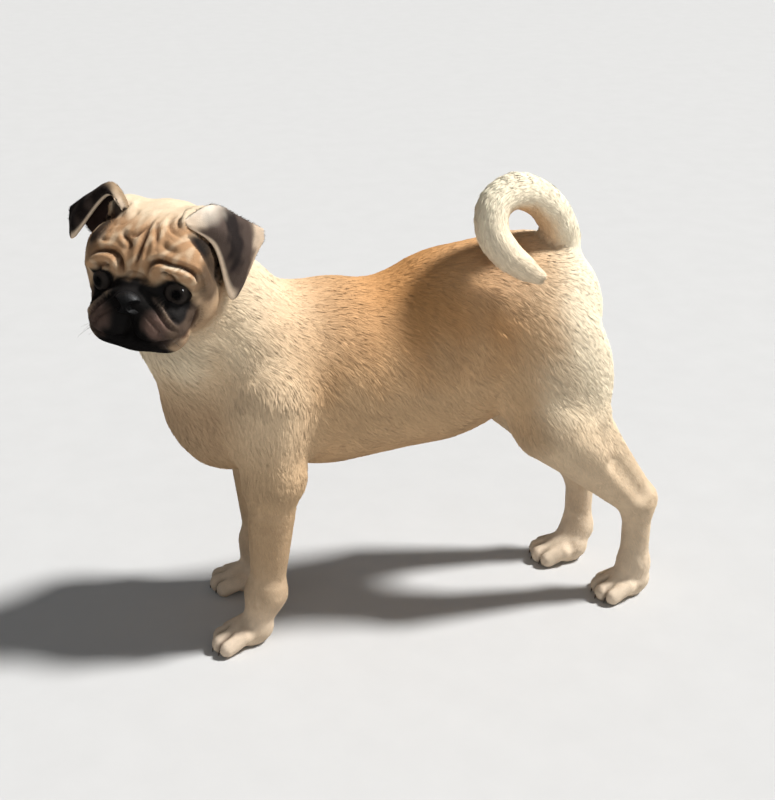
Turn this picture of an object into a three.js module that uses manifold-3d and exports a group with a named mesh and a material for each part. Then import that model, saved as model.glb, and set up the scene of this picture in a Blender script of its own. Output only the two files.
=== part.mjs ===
// A young pug standing square on four paws, life-size, as a still museum model.
// Millimetres, +Z up. The dog faces -X, its left side is -Y, and its head is turned to its left.
// The skin is one smooth shape made of named balls and limbs. Each sub-part is a three.js capsule or
// sphere drawn out to that shape along its own rays, then parted from its neighbours by thin cuts.
import * as THREE from "three";
import { mergeVertices } from "three/addons/utils/BufferGeometryUtils.js";
import Module from "manifold-3d";

const wasm = await Module();
wasm.setup();

// Driving sizes
const WITHERS = 228; // floor to the top of the shoulders
const CROUP = 247; // floor to the top of the rump
const CHEST_HALF_WIDTH = 43;
const GAP = 0.3; // left between parts that touch
const HALF_GAP = GAP / 2;
const PAST_THE_CUT = 14; // how far a shape is drawn past a cut before it is trimmed there
const PAST_THE_NECK = 34; // the same where the neck joins the chest
const EAR_THICKNESS = 1.8;
const CLAW_LENGTH = 7;

const COLOURS = {
  fawn: { color: "#cdaa76", roughness: 0.9, metalness: 0 },
  cream: { color: "#dcc49a", roughness: 0.9, metalness: 0 },
  mask: { color: "#3a2f2a", roughness: 0.8, metalness: 0 },
  nose: { color: "#141213", roughness: 0.45, metalness: 0 },
  eye: { color: "#120d0b", roughness: 0.08, metalness: 0 },
};
const materials = Object.fromEntries(
  Object.entries(COLOURS).map(([name, look]) => [
    name,
    new THREE.MeshStandardMaterial({ ...look, name }),
  ]),
);
const SIDES = { left: -1, right: 1 };
const bySide = (make) => Object.entries(SIDES).flatMap(([name, s]) => make(name, s));

// Shapes. Each is a function of a place that is negative inside, and about the distance outside.
function ball([cx, cy, cz], [rx, ry, rz], tiltDegrees = 0) {
  const tilt = THREE.MathUtils.degToRad(tiltDegrees);
  const cos = Math.cos(tilt);
  const sin = Math.sin(tilt);
  return (x, y, z) => {
    const u = cos * (x - cx) + sin * (z - cz);
    const v = y - cy;
    const w = cos * (z - cz) - sin * (x - cx);
    const near = Math.hypot(u / rx, v / ry, w / rz);
    const slope = Math.hypot(u / rx ** 2, v / ry ** 2, w / rz ** 2);
    return slope > 0 ? (near * (near - 1)) / slope : -Math.min(rx, ry, rz);
  };
}

function limb([ax, ay, az], [bx, by, bz], startRadius, endRadius, width = 1) {
  const [dx, dy, dz] = [bx - ax, by - ay, bz - az];
  const lengthSquared = dx * dx + dy * dy + dz * dz;
  return (x, y, z) => {
    const along = (x - ax) * dx + (y - ay) * dy + (z - az) * dz;
    const t = THREE.MathUtils.clamp(along / lengthSquared, 0, 1);
    const off = Math.hypot(x - ax - t * dx, (y - ay - t * dy) / width, z - az - t * dz);
    return off - THREE.MathUtils.lerp(startRadius, endRadius, t);
  };
}

function path(points, radii) {
  const spans = points.slice(1).map((point, i) => limb(points[i], point, radii[i], radii[i + 1]));
  return (x, y, z) => Math.min(...spans.map((span) => span(x, y, z)));
}

// Several shapes run into one another, with a fillet about as wide as the softness.
function joined(softness, shapes) {
  return (x, y, z) => {
    let all = shapes[0](x, y, z);
    for (let i = 1; i < shapes.length; i++) {
      const next = shapes[i](x, y, z);
      const share = THREE.MathUtils.clamp(0.5 + (0.5 * (all - next)) / softness, 0, 1);
      all += (next - all) * share - softness * share * (1 - share);
    }
    return all;
  };
}

function carved(softness, shape, tools) {
  return (x, y, z) => {
    let all = shape(x, y, z);
    for (const tool of tools) {
      const cut = -tool(x, y, z);
      const share = THREE.MathUtils.clamp(0.5 + (0.5 * (cut - all)) / softness, 0, 1);
      all += (cut - all) * share + softness * share * (1 - share);
    }
    return all;
  };
}

const within = (...shapes) => (x, y, z) => Math.max(...shapes.map((shape) => shape(x, y, z)));
const swollen = (shape, by) => (x, y, z) => shape(x, y, z) - by;

// The side of a plane: positive where its normal points.
function plane([px, py, pz], direction) {
  const normal = new THREE.Vector3(...direction).normalize().toArray();
  const [nx, ny, nz] = normal;
  const side = (x, y, z) => (x - px) * nx + (y - py) * ny + (z - pz) * nz;
  return Object.assign(side, { normal, offset: px * nx + py * ny + pz * nz });
}

// Trunk
const trunk = joined(16, [
  ball([-44, 0, WITHERS - 61], [74, CHEST_HALF_WIDTH, 60]),
  ball([-104, 0, 153], [38, 34, 44]),
  ball([8, 0, 161], [70, 38, 47], -6),
  ball([40, 0, CROUP - 60], [70, 37, 55], 6),
  ball([81, 0, CROUP - 53], [52, 40, 53], -8),
  ...bySide((name, s) => ball([-82, s * 27, 168], [26, 18, 46], 8)),
]);

// Legs: the middles of the joints, left and right
const LEGS = {
  left: {
    shoulder: [-84, -30, 168],
    elbow: [-84, -35, 116],
    wrist: [-89, -33, 38],
    frontPaw: [-105, -33, 9],
    frontPawTurn: 12,
    hip: [96, -26, 190],
    knee: [94, -33, 130],
    hock: [154, -31, 70],
    ankle: [156, -31, 22],
    hindPaw: [149, -31, 9],
    hindPawTurn: 4,
  },
  right: {
    shoulder: [-86, 30, 168],
    elbow: [-88, 35, 116],
    wrist: [-84, 33, 38],
    frontPaw: [-98, 33, 9],
    frontPawTurn: 14,
    hip: [92, 26, 190],
    knee: [84, 33, 130],
    hock: [136, 28, 68],
    ankle: [137, 25, 22],
    hindPaw: [124, 22, 9],
    hindPawTurn: 10,
  },
};

function frontLeg({ shoulder, elbow, wrist, frontPaw }) {
  const [wx, wy, wz] = wrist;
  return joined(9, [
    limb(shoulder, elbow, 26, 18),
    limb([elbow[0] + 1, elbow[1], elbow[2]], wrist, 17, 11.5),
    ball([elbow[0] + 11, elbow[1], elbow[2] + 2], [9, 9, 14], 10),
    ball([wx - 1, wy, wz - 3], [12, 12, 12]),
    limb([wx, wy, wz - 4], [frontPaw[0] + 8, frontPaw[1], 12], 11.5, 10.5),
  ]);
}

function hindLeg({ hip, knee, hock, ankle, hindPaw }) {
  const [hx, hy, hz] = hock;
  return joined(9, [
    ball([hip[0], hip[1], 160], [38, 21, 54], 8),
    limb(knee, hock, 23.5, 12, 0.85),
    limb([knee[0] + 26, knee[1], knee[2] + 2], [hx + 6, hy, hz + 3], 11, 5, 0.7),
    limb([hx + 2, hy, hz - 2], ankle, 10, 9.4),
    limb(ankle, [hindPaw[0] + 5, hindPaw[1], 12], 9.4, 10),
  ]);
}

// Paws: four toes on a short foot, with pads below and a claw on each toe
const TOES = [
  { reach: 11, aside: -10.8, radius: 5.3 },
  { reach: 15.5, aside: -4.3, radius: 5.8 },
  { reach: 15.5, aside: 4.3, radius: 5.8 },
  { reach: 11, aside: 10.8, radius: 5.3 },
];

function onPaw([px, py], turnDegrees, side) {
  const turn = THREE.MathUtils.degToRad(turnDegrees);
  const [cos, sin] = [Math.cos(turn), Math.sin(turn)];
  return (ahead, aside, height) => [
    px - ahead * cos - aside * side * sin,
    py + ahead * side * sin - aside * side * cos,
    height,
  ];
}

function paw(centre, turnDegrees, side) {
  const at = onPaw(centre, turnDegrees, side);
  const toes = TOES.map(({ reach, aside, radius }) =>
    limb(at(reach - 12, aside * 0.82, 10), at(reach - 1, aside, radius - 0.4), 5.6, radius),
  );
  const foot = limb(at(-9, 0, 10.5), at(1, 0, 9.5), 10, 9);
  const heelPad = ball(at(-4, 0, 3.5), [9, 9, 4.5]);
  return joined(2, [...toes, joined(4, [foot, heelPad])]);
}

// Tail: one and a bit turns over the near side of the rump, from its root to its tip
const TAIL = [
  { at: [98, 0, 216], radius: 13 },
  { at: [104, -3, 236], radius: 13 },
  { at: [98, -9, 255], radius: 12.5 },
  { at: [85, -16, 271], radius: 12 },
  { at: [67, -22, 279], radius: 12 },
  { at: [53, -28, 273], radius: 11.5 },
  { at: [50, -34, 259], radius: 11 },
  { at: [56, -39, 246], radius: 10.5 },
  { at: [66, -42, 237], radius: 8.5 },
  { at: [76, -44, 231], radius: 5 },
];
const tailLine = new THREE.CatmullRomCurve3(TAIL.map(({ at }) => new THREE.Vector3(...at)));
const tail = path(
  tailLine.getPoints(36).map((p) => p.toArray()),
  Array.from({ length: 37 }, (_, i) => {
    const place = (i / 36) * (TAIL.length - 1);
    const from = Math.min(Math.floor(place), TAIL.length - 2);
    return THREE.MathUtils.lerp(TAIL[from].radius, TAIL[from + 1].radius, place - from);
  }),
);

// Head, in its own axes: ahead, to its left, up, from the middle of the skull
const HEAD = { at: [-142, -32, 249], yaw: 60, pitch: 1, roll: 4 };
const headFrame = new THREE.Matrix4()
  .makeTranslation(...HEAD.at)
  .multiply(new THREE.Matrix4().makeRotationZ(THREE.MathUtils.degToRad(HEAD.yaw)))
  .multiply(new THREE.Matrix4().makeRotationY(THREE.MathUtils.degToRad(-HEAD.pitch)))
  .multiply(new THREE.Matrix4().makeRotationX(THREE.MathUtils.degToRad(HEAD.roll)))
  .multiply(new THREE.Matrix4().makeScale(-1, -1, 1));
const headBack = headFrame.clone().invert();
const onHead = (place) => new THREE.Vector3(...place).applyMatrix4(headFrame).toArray();
const headWay = (way) => new THREE.Vector3(...way).transformDirection(headFrame).toArray();

function inHead(shape) {
  const m = headBack.elements;
  return (x, y, z) =>
    shape(
      m[0] * x + m[4] * y + m[8] * z + m[12],
      m[1] * x + m[5] * y + m[9] * z + m[13],
      m[2] * x + m[6] * y + m[10] * z + m[14],
    );
}

const EYE = { at: [19.5, 20, -0.3], radius: 9.4 };
const LID = { ahead: [0.86, 0.45, 0.08], halfWidth: 57, halfHeight: 46, thickness: 1.6, lift: 0.8 };
const both = (make) => [1, -1].flatMap((s) => make(s));

const skull = joined(10, [
  ball([-10, 0, 7], [34, 35, 31]),
  ball([9, 0, 12], [20, 30, 21]),
  ...both((s) => ball([4, s * 21, -10], [20, 15.5, 19])),
  ball([-2, 0, -18], [26, 25, 18]),
  ...both((s) => ball([16, s * 22, 3], [14, 13, 13])),
  ...both((s) => ball([13, s * 22.5, 16], [13, 12, 11])),
  ...both((s) => ball([-6, s * 23, 30], [13, 9, 9])),
]);
const muzzle = joined(5, [
  ...both((s) => ball([26.5, s * 13.5, -17.5], [15.5, 15, 15])),
  ...both((s) => ball([25, s * 17, -24], [12, 11, 11])),
  ball([28, 0, -6], [13, 16, 10]),
  ball([25, 0, -28], [14, 17, 8.5]),
]);
const smoothHead = joined(6, [skull, muzzle]);
const HEAD_MIDDLE = new THREE.Vector3(4, 0, -3);

// Where the skin of the head lies behind or before a place near it
function onSkin(place, lift = 0) {
  const way = new THREE.Vector3(...place).sub(HEAD_MIDDLE).normalize();
  const reach = reachOf(smoothHead, HEAD_MIDDLE, way, 90);
  return HEAD_MIDDLE.clone().addScaledVector(way, reach + lift).toArray();
}
const onBothSides = (line) => both((s) => [line.map(([a, l, u]) => [a, s * l, u])]);

// Creases of the forehead, brows, nose and cheeks
const CREASE = { radius: 3.4, lift: 1.7, softness: 2.6 };
const CREASES = [
  [[14, 4, 36], [21, 4, 31], [28, 3, 21], [30, 0, 10]],
  [[20, -9, 31], [27, -11, 22]],
  [[17, 13, 32], [24, 12, 24]],
  ...onBothSides([[29, 8, 13], [26, 14, 18], [22, 23, 17], [16, 31, 12]]),
  ...onBothSides([[38, 10, 3], [36, 15, -2], [36, 21, -10], [30, 25, -20]]),
];
const ROLL = { radius: 3.6, lift: -1.9, softness: 3 };
const ROLLS = [
  ...onBothSides([[38, 0, 4], [37, 9, 2], [33, 17, -3]]),
];
const alongSkin = (lines, { radius, lift }) =>
  lines.map((line) => path(line.map((p) => onSkin(p, lift)), line.map(() => radius)));
const creased = carved(
  CREASE.softness,
  joined(ROLL.softness, [smoothHead, ...alongSkin(ROLLS, ROLL)]),
  alongSkin(CREASES, CREASE),
);
const eyeOpenings = both((s) => ball([29.8, s * 24.5, 0], [8.6, 9.8, 8.2]));
const head = carved(1.2, creased, eyeOpenings);
const noseBall = joined(3, [
  ball([39, 0, -4], [5.5, 6, 6]),
  ...both((s) => ball([39, s * 4, -5], [5, 3.8, 4.6])),
]);

// Neck, from the shoulders to the back of the skull
const neck = joined(10, [
  limb([-86, 0, 178], [-122, -12, 230], 46, 37, 0.84),
  limb([-112, 0, 162], [-130, -16, 206], 30, 28, 0.95),
]);

const standing = joined(9, [
  joined(14, [trunk, neck]),
  ...bySide((name) => [frontLeg(LEGS[name]), hindLeg(LEGS[name])]),
]);
const paws = bySide((name, s) => [
  paw(LEGS[name].frontPaw, LEGS[name].frontPawTurn, s),
  paw(LEGS[name].hindPaw, LEGS[name].hindPawTurn, s),
]);
const body = joined(7, [joined(4, [standing, ...paws]), inHead(head)]);

// Cuts between the sub-parts
const neckCut = plane([-104, -2, 196], [-0.72, -0.14, 0.68]);
const headCut = plane(onHead([-22, 0, -8]), headWay([0.8, 0, 0.6]));
const legCuts = (name, s) => {
  const { ankle, knee } = LEGS[name];
  return {
    front: [
      plane([0, s * 13, 106], [0, s * 0.7, -0.72]),
      plane([-52, 0, 120], [-0.94, 0, -0.34]),
      plane([0, 0, 0], [0, s, 0]),
    ],
    hind: [
      plane([0, s * 8, 141], [0, s * 0.82, -0.57]),
      plane([66, 0, 150], [0.9, 0, -0.45]),
      plane([0, s * 8, 0], [0, s, 0]),
    ],
    frontPaw: plane([-98, 0, 19], [-0.35, 0, -1]),
    hindPaw: plane([ankle[0] - 6, 0, 18], [-0.25, 0, -1]),
    shank: plane([knee[0] + 16, 0, knee[2] - 18], [0.76, 0, -0.66]),
  };
};
const LEG_CUTS = Object.fromEntries(bySide((name, s) => [[name, legCuts(name, s)]]));

// Solids
function solidOf(geometry) {
  const bare = geometry.clone();
  bare.deleteAttribute("normal");
  bare.deleteAttribute("uv");
  const merged = mergeVertices(bare, 1e-4);
  const corners = [...merged.index.array];
  const faces = [];
  for (let i = 0; i < corners.length; i += 3) {
    const [a, b, c] = corners.slice(i, i + 3);
    if (a !== b && b !== c && c !== a) faces.push(a, b, c);
  }
  return new wasm.Manifold(
    new wasm.Mesh({
      numProp: 3,
      vertProperties: new Float32Array(merged.attributes.position.array),
      triVerts: new Uint32Array(faces),
    }),
  );
}

function meshOf(name, solid, material) {
  const largest = solid.decompose().sort((a, b) => b.volume() - a.volume())[0];
  const { vertProperties, triVerts, numProp } = largest.getMesh();
  const positions = [];
  for (let i = 0; i < vertProperties.length; i += numProp) {
    positions.push(...vertProperties.subarray(i, i + 3));
  }
  const geometry = new THREE.BufferGeometry();
  geometry.setAttribute("position", new THREE.Float32BufferAttribute(positions, 3));
  geometry.setIndex([...triVerts]);
  geometry.computeVertexNormals();
  const mesh = new THREE.Mesh(geometry, materials[material]);
  mesh.name = name;
  return mesh;
}

// How far from a place inside a shape its surface is, along a ray.
function reachOf(shape, origin, way, furthest) {
  const at = (t) => shape(origin.x + way.x * t, origin.y + way.y * t, origin.z + way.z * t);
  let inside = 0;
  let outside = 0;
  for (let depth = at(0); depth < 0 && outside < furthest; depth = at(outside)) {
    inside = outside;
    outside += Math.max(0.6 * -depth, 0.15);
  }
  for (let i = 0; i < 14; i++) {
    const middle = (inside + outside) / 2;
    if (at(middle) < 0) inside = middle;
    else outside = middle;
  }
  return inside;
}

// A capsule round a bent core, with each corner drawn out to the shape along its own ray.
function wrap(shape, core, { around, along, caps, up = [0, 0, 1] }) {
  const curve = new THREE.CatmullRomCurve3(core.map((p) => new THREE.Vector3(...p)));
  const capsule = new THREE.CapsuleGeometry(1, 1, caps, around, along);
  const corners = capsule.getAttribute("position");
  const corner = new THREE.Vector3();
  for (let i = 0; i < corners.count; i++) {
    corner.fromBufferAttribute(corners, i);
    const height = THREE.MathUtils.clamp(corner.y, -0.5, 0.5);
    const origin = curve.getPointAt(height + 0.5);
    const ahead = curve.getTangentAt(height + 0.5);
    const aside = new THREE.Vector3(...up).cross(ahead).normalize();
    const above = ahead.clone().cross(aside);
    const way = ahead
      .multiplyScalar(corner.y - height)
      .addScaledVector(aside, corner.z)
      .addScaledVector(above, corner.x)
      .normalize();
    corner.copy(origin).addScaledVector(way, reachOf(shape, origin, way, 160));
    corners.setXYZ(i, ...corner.toArray());
  }
  return solidOf(capsule);
}

// A sphere with its pole ahead, with more rings near the pole, drawn out to the shape.
function wrapRound(shape, centre, pole, { around, rings, crowding = 1 }) {
  const sphere = new THREE.SphereGeometry(1, around, rings);
  const corners = sphere.getAttribute("position");
  const ahead = new THREE.Vector3(...pole).normalize();
  const aside = new THREE.Vector3(0, 0, 1).cross(ahead).normalize();
  const above = ahead.clone().cross(aside);
  const origin = new THREE.Vector3(...centre);
  const corner = new THREE.Vector3();
  for (let i = 0; i < corners.count; i++) {
    corner.fromBufferAttribute(corners, i);
    const share = Math.acos(THREE.MathUtils.clamp(corner.y, -1, 1)) / Math.PI;
    const polar = Math.PI * share ** crowding;
    const turn = Math.atan2(corner.z, corner.x);
    const way = new THREE.Vector3()
      .addScaledVector(ahead, Math.cos(polar))
      .addScaledVector(aside, Math.sin(polar) * Math.cos(turn))
      .addScaledVector(above, -Math.sin(polar) * Math.sin(turn));
    corner.copy(origin).addScaledVector(way, reachOf(shape, origin, way, 90));
    corners.setXYZ(i, ...corner.toArray());
  }
  return solidOf(sphere);
}

// A sheet through rows of points, given an even thickness.
function sheet(rows, thickness, across, along) {
  const lines = rows.map((row) => new THREE.CatmullRomCurve3(row.map((p) => new THREE.Vector3(...p))));
  const columns = Array.from({ length: across + 1 }, (_, i) =>
    new THREE.CatmullRomCurve3(lines.map((line) => line.getPoint(i / across))),
  );
  const grid = columns.map((column) => column.getPoints(along));
  const faceOf = (i, j) => {
    const [west, east] = [grid[Math.max(i - 1, 0)][j], grid[Math.min(i + 1, across)][j]];
    const [low, high] = [grid[i][Math.max(j - 1, 0)], grid[i][Math.min(j + 1, along)]];
    return east.clone().sub(west).cross(high.clone().sub(low)).normalize();
  };
  const box = new THREE.BoxGeometry(1, 1, 1, across, along, 1);
  const corners = box.getAttribute("position");
  for (let k = 0; k < corners.count; k++) {
    const i = Math.round((corners.getX(k) + 0.5) * across);
    const j = Math.round((corners.getY(k) + 0.5) * along);
    const place = grid[i][j].clone().addScaledVector(faceOf(i, j), corners.getZ(k) * thickness);
    corners.setXYZ(k, ...place.toArray());
  }
  return solidOf(box);
}

// Keeps the side of a cut that its normal points to, or the other side.
const keepAhead = (solid, ...cuts) =>
  cuts.reduce((rest, cut) => rest.trimByPlane(cut.normal, cut.offset + HALF_GAP), solid);
const keepBehind = (solid, cut) =>
  solid.trimByPlane(cut.normal.map((n) => -n), -cut.offset + HALF_GAP);
const aheadOf = (...cuts) => (x, y, z) =>
  -Math.min(...cuts.map((cut) => cut(x, y, z))) - PAST_THE_CUT;
const behind = (...cuts) => (x, y, z) =>
  Math.min(...cuts.map((cut) => cut(x, y, z))) - PAST_THE_CUT;

const pastTheNeck = (cut) => (x, y, z) => cut(x, y, z) - PAST_THE_NECK;

// A block that fills the side its cuts point to, grown by half the gap
function blockOf(cuts) {
  const roomy = solidOf(new THREE.BoxGeometry(900, 900, 900));
  return cuts.reduce((rest, cut) => rest.trimByPlane(cut.normal, cut.offset - HALF_GAP), roomy);
}

const dog = new THREE.Group();
const add = (name, solid, material) => dog.add(meshOf(name, solid, material));

// Trunk and neck
const legZones = Object.values(LEG_CUTS).flatMap(({ front, hind }) => [front, hind]);
let torso = wrap(
  within(body, pastTheNeck(neckCut), ...legZones.map((cuts) => behind(...cuts))),
  [[-112, 0, 152], [-60, 0, 166], [20, 0, 182], [100, 0, 196]],
  { around: 26, along: 17, caps: 7 },
);
torso = keepBehind(torso, neckCut);
for (const cuts of legZones) torso = torso.subtract(blockOf(cuts));
add("torso", torso, "fawn");

const neckSolid = keepBehind(
  keepAhead(
    wrap(
      within(body, (x, y, z) => -neckCut(x, y, z) - PAST_THE_NECK, behind(headCut)),
      [[-104, -1, 176], [-112, -5, 202], [-124, -13, 230]],
      { around: 24, along: 6, caps: 7, up: [1, 0, 0] },
    ),
    neckCut,
  ),
  headCut,
);
add("neck", neckSolid, "cream");

// Head, with the eyes, the nose and the ears
const face = { around: 52, rings: 44, crowding: 1.3 };
const faceWrap = (shape) =>
  wrapRound(shape, onHead(HEAD_MIDDLE.toArray()), headWay([1, 0, -0.12]), face);
let headSolid = keepAhead(faceWrap(within(body, aheadOf(headCut))), headCut);
const headRoom = faceWrap(swollen(within(body, aheadOf(headCut)), GAP));

// A lid lies on the eye as a ring, wider than it is high.
function lidRing(s) {
  const out = new THREE.Vector3(LID.ahead[0], s * LID.ahead[1], LID.ahead[2]).normalize();
  const across = new THREE.Vector3(0, 0, 1).cross(out).normalize();
  const up = out.clone().cross(across);
  const ring = new THREE.TorusGeometry(1, 0.25, 6, 22);
  const corners = ring.getAttribute("position");
  for (let i = 0; i < corners.count; i++) {
    const [x, y, z] = [corners.getX(i), corners.getY(i), corners.getZ(i)];
    const turn = Math.atan2(y, x);
    const fromRing = ((Math.hypot(x, y) - 1) / 0.25) * LID.thickness;
    const lift = (z / 0.25) * LID.thickness;
    const [width, height] = [LID.halfWidth, LID.halfHeight].map(THREE.MathUtils.degToRad);
    const open = Math.hypot(width * Math.cos(turn), height * Math.sin(turn));
    const side = across
      .clone()
      .multiplyScalar(Math.cos(turn))
      .addScaledVector(up, Math.sin(turn));
    const bend = open + fromRing / EYE.radius;
    const way = out.clone().multiplyScalar(Math.cos(bend)).addScaledVector(side, Math.sin(bend));
    const [ahead, aside, height0] = EYE.at;
    way.multiplyScalar(EYE.radius + LID.lift + lift);
    corners.setXYZ(i, ...onHead([ahead + way.x, s * aside + way.y, height0 + way.z]));
  }
  return solidOf(ring);
}

// The line of the lips, cut into the muzzle as a narrow groove
function lipGroove(points, radius) {
  const line = new THREE.CatmullRomCurve3(
    points.map((p) => new THREE.Vector3(...onHead(onSkin(p, 0.2)))),
  );
  const round = new THREE.Shape().absarc(0, 0, radius, 0, 2 * Math.PI);
  const cord = new THREE.ExtrudeGeometry(round, {
    steps: 18,
    curveSegments: 3,
    extrudePath: line,
    bevelEnabled: false,
  });
  return solidOf(cord);
}
const MOUTH = [[40, 0, -12], [40, 0, -19], [38, 6, -23.5], [34, 14, -26.5], [27, 22, -27]];
const mouthLines = both((s) => lipGroove(MOUTH.map(([a, l, u]) => [a, s * l, u]), 0.9));

for (const [name, s] of Object.entries(SIDES)) {
  const [ahead, aside, up] = EYE.at;
  const place = onHead([ahead, -s * aside, up]);
  const eye = new THREE.SphereGeometry(EYE.radius, 16, 12).translate(...place);
  const socket = new THREE.SphereGeometry(EYE.radius + GAP, 16, 12).translate(...place);
  headSolid = headSolid.add(lidRing(-s)).subtract(solidOf(socket));
  add(`eye_${name}`, solidOf(eye), "eye");
}
headSolid = mouthLines.reduce((rest, groove) => rest.subtract(groove), headSolid);
const aroundNose = { around: 16, rings: 11 };
const noseAt = [39, 0, -4.5];
const noseWrap = (shape) => wrapRound(inHead(shape), onHead(noseAt), headWay([1, 0, 0]), aroundNose);
const nostrils = both((s) =>
  wrapRound(
    inHead(ball([44, s * 4.4, -5.4], [2.4, 1.9, 1.4])),
    onHead([44, s * 4.4, -5.4]),
    headWay([1, 0, 0]),
    { around: 8, rings: 6 },
  ),
);
add("head", headSolid.subtract(noseWrap(swollen(noseBall, GAP))), "fawn");
add("nose", nostrils.reduce((rest, hole) => rest.subtract(hole), noseWrap(noseBall)), "nose");

// Ears: rows from the root, over the fold, to the free edge; each row runs from front to back
const EARS = {
  left: [
    [[6, 13.5, 29.5], [-6, 24, 28], [-16, 30, 18], [-20, 33, 0]],
    [[8, 16.5, 34.5], [-5, 28, 38], [-16, 38, 28], [-22, 46, 8]],
    [[7.5, 20, 38], [-4, 30, 41.5], [-13, 40, 34.5], [-23, 51, 25.5]],
    [[9, 23.5, 36.5], [2, 38, 31], [-9, 45.5, 15], [-24, 52, 20]],
    [[9.5, 21.5, 32.5], [5, 36.5, 18], [-7, 41, -12.5], [-23, 49.5, 15]],
  ],
  right: [
    [[6, -12, 28], [-6, -24, 28], [-16, -31, 18], [-18, -34, -2]],
    [[6, -14, 37.5], [-6, -27, 41], [-17, -42, 27], [-20, -51, 8]],
    [[4, -17.5, 41.5], [-5, -30, 44.5], [-13, -46, 35], [-22, -65.5, 20.5]],
    [[4, -21, 41], [-1, -36, 40.5], [-8, -53, 25], [-22, -66.5, 15]],
    [[5, -20.5, 39.5], [0, -33.5, 38], [-13, -61, 5], [-21, -66, 11]],
  ],
};
for (const [name, rows] of Object.entries(EARS)) {
  const ear = sheet(rows.map((row) => row.map(onHead)), EAR_THICKNESS, 11, 12);
  add(`ear_${name}`, ear.subtract(headRoom), "mask");
}

// Tail, in four lengths
const TAIL_PARTS = ["tail_root", "tail_rise", "tail_curl", "tail_tip"];
const tailCut = (share) =>
  plane(tailLine.getPointAt(share).toArray(), tailLine.getTangentAt(share).toArray());
const torsoRoom = wrap(swollen(body, GAP), [[20, 0, 182], [100, 0, 196]], {
  around: 40,
  along: 12,
  caps: 10,
});
TAIL_PARTS.forEach((name, i) => {
  const [from, to] = [i / TAIL_PARTS.length, (i + 1) / TAIL_PARTS.length];
  const core = [0.04, 0.35, 0.65, 0.96].map((t) =>
    tailLine.getPointAt(THREE.MathUtils.lerp(from, to, t)).toArray(),
  );
  let shape = tail;
  if (i > 0) shape = within(shape, aheadOf(tailCut(from)));
  if (i < TAIL_PARTS.length - 1) shape = within(shape, behind(tailCut(to)));
  let length = wrap(shape, core, { around: 14, along: 5, caps: 3, up: [0, 1, 0] });
  if (i > 0) length = keepAhead(length, tailCut(from));
  if (i < TAIL_PARTS.length - 1) length = keepBehind(length, tailCut(to));
  add(name, length.subtract(torsoRoom), "cream");
});

// Legs and paws
function claw(at, { reach, aside, radius }) {
  const base = new THREE.Vector3(...at(reach, aside, radius + 1.5));
  const tip = new THREE.Vector3(...at(reach + CLAW_LENGTH, aside, 1.8));
  const cone = new THREE.ConeGeometry(2, base.distanceTo(tip), 6);
  cone.applyQuaternion(
    new THREE.Quaternion().setFromUnitVectors(
      new THREE.Vector3(0, 1, 0),
      tip.clone().sub(base).normalize(),
    ),
  );
  return solidOf(cone.translate(...base.lerp(tip, 0.5).toArray()));
}

bySide((name, s) => {
  const { elbow, wrist, frontPaw, knee, hock, ankle, hindPaw } = LEGS[name];
  const cuts = LEG_CUTS[name];
  const sideways = [1, 0, 0];
  const foreleg = wrap(
    within(body, aheadOf(...cuts.front), behind(cuts.frontPaw)),
    [
      [elbow[0], elbow[1], elbow[2] - 4],
      [elbow[0] - 2, elbow[1], 80],
      [wrist[0] - 1, wrist[1], 32],
    ],
    { around: 16, along: 9, caps: 3, up: sideways },
  );
  add(`front_leg_${name}`, keepBehind(keepAhead(foreleg, ...cuts.front), cuts.frontPaw), "fawn");

  const thigh = wrap(
    within(body, aheadOf(...cuts.hind), behind(cuts.shank)),
    [
      [knee[0] + 6, knee[1], knee[2] + 36],
      [knee[0] + 3, knee[1], knee[2] + 2],
    ],
    { around: 26, along: 6, caps: 5, up: sideways },
  );
  add(`thigh_${name}`, keepBehind(keepAhead(thigh, ...cuts.hind), cuts.shank), "fawn");

  const shank = wrap(
    within(body, aheadOf(...cuts.hind, cuts.shank), behind(cuts.hindPaw)),
    [
      [knee[0] + 20, knee[1], knee[2] - 20],
      [hock[0] - 8, hock[1], hock[2] + 8],
      [hock[0] + 2, hock[1], hock[2] - 12],
      [ankle[0], ankle[1], 24],
    ],
    { around: 16, along: 11, caps: 3, up: [-1, 0, 0.3] },
  );
  const shankCut = keepAhead(shank, ...cuts.hind, cuts.shank);
  add(`hind_leg_${name}`, keepBehind(shankCut, cuts.hindPaw), "fawn");

  for (const [end, centre, turn, cut] of [
    ["front", frontPaw, LEGS[name].frontPawTurn, cuts.frontPaw],
    ["hind", hindPaw, LEGS[name].hindPawTurn, cuts.hindPaw],
  ]) {
    const at = onPaw(centre, turn, s);
    const ahead = new THREE.Vector3(...at(1, 0, 0)).sub(new THREE.Vector3(...at(0, 0, 0)));
    const foot = wrapRound(within(body, aheadOf(cut)), at(2, 0, 8), ahead.toArray(), {
      around: 20,
      rings: 13,
      crowding: 1.1,
    });
    const clawed = TOES.reduce((rest, toe) => rest.add(claw(at, toe)), keepAhead(foot, cut));
    add(`${end}_paw_${name}`, clawed.trimByPlane([0, 0, 1], 0), "cream");
  }
});

const bounds = new THREE.Box3().setFromObject(dog);
const middle = bounds.getCenter(new THREE.Vector3());
dog.position.set(-middle.x, -middle.y, -bounds.min.z);

export default dog;
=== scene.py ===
# A young pug, life-size: its skin, coat, eyes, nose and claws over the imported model.
# Places are in millimetres on the dog, which faces -X with its left side to -Y. The head has
# axes of its own: ahead, to its left and up. to_row() turns a place into metres in the row frame.
import math

import bpy
import numpy as np
from mathutils import Matrix, Vector


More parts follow.
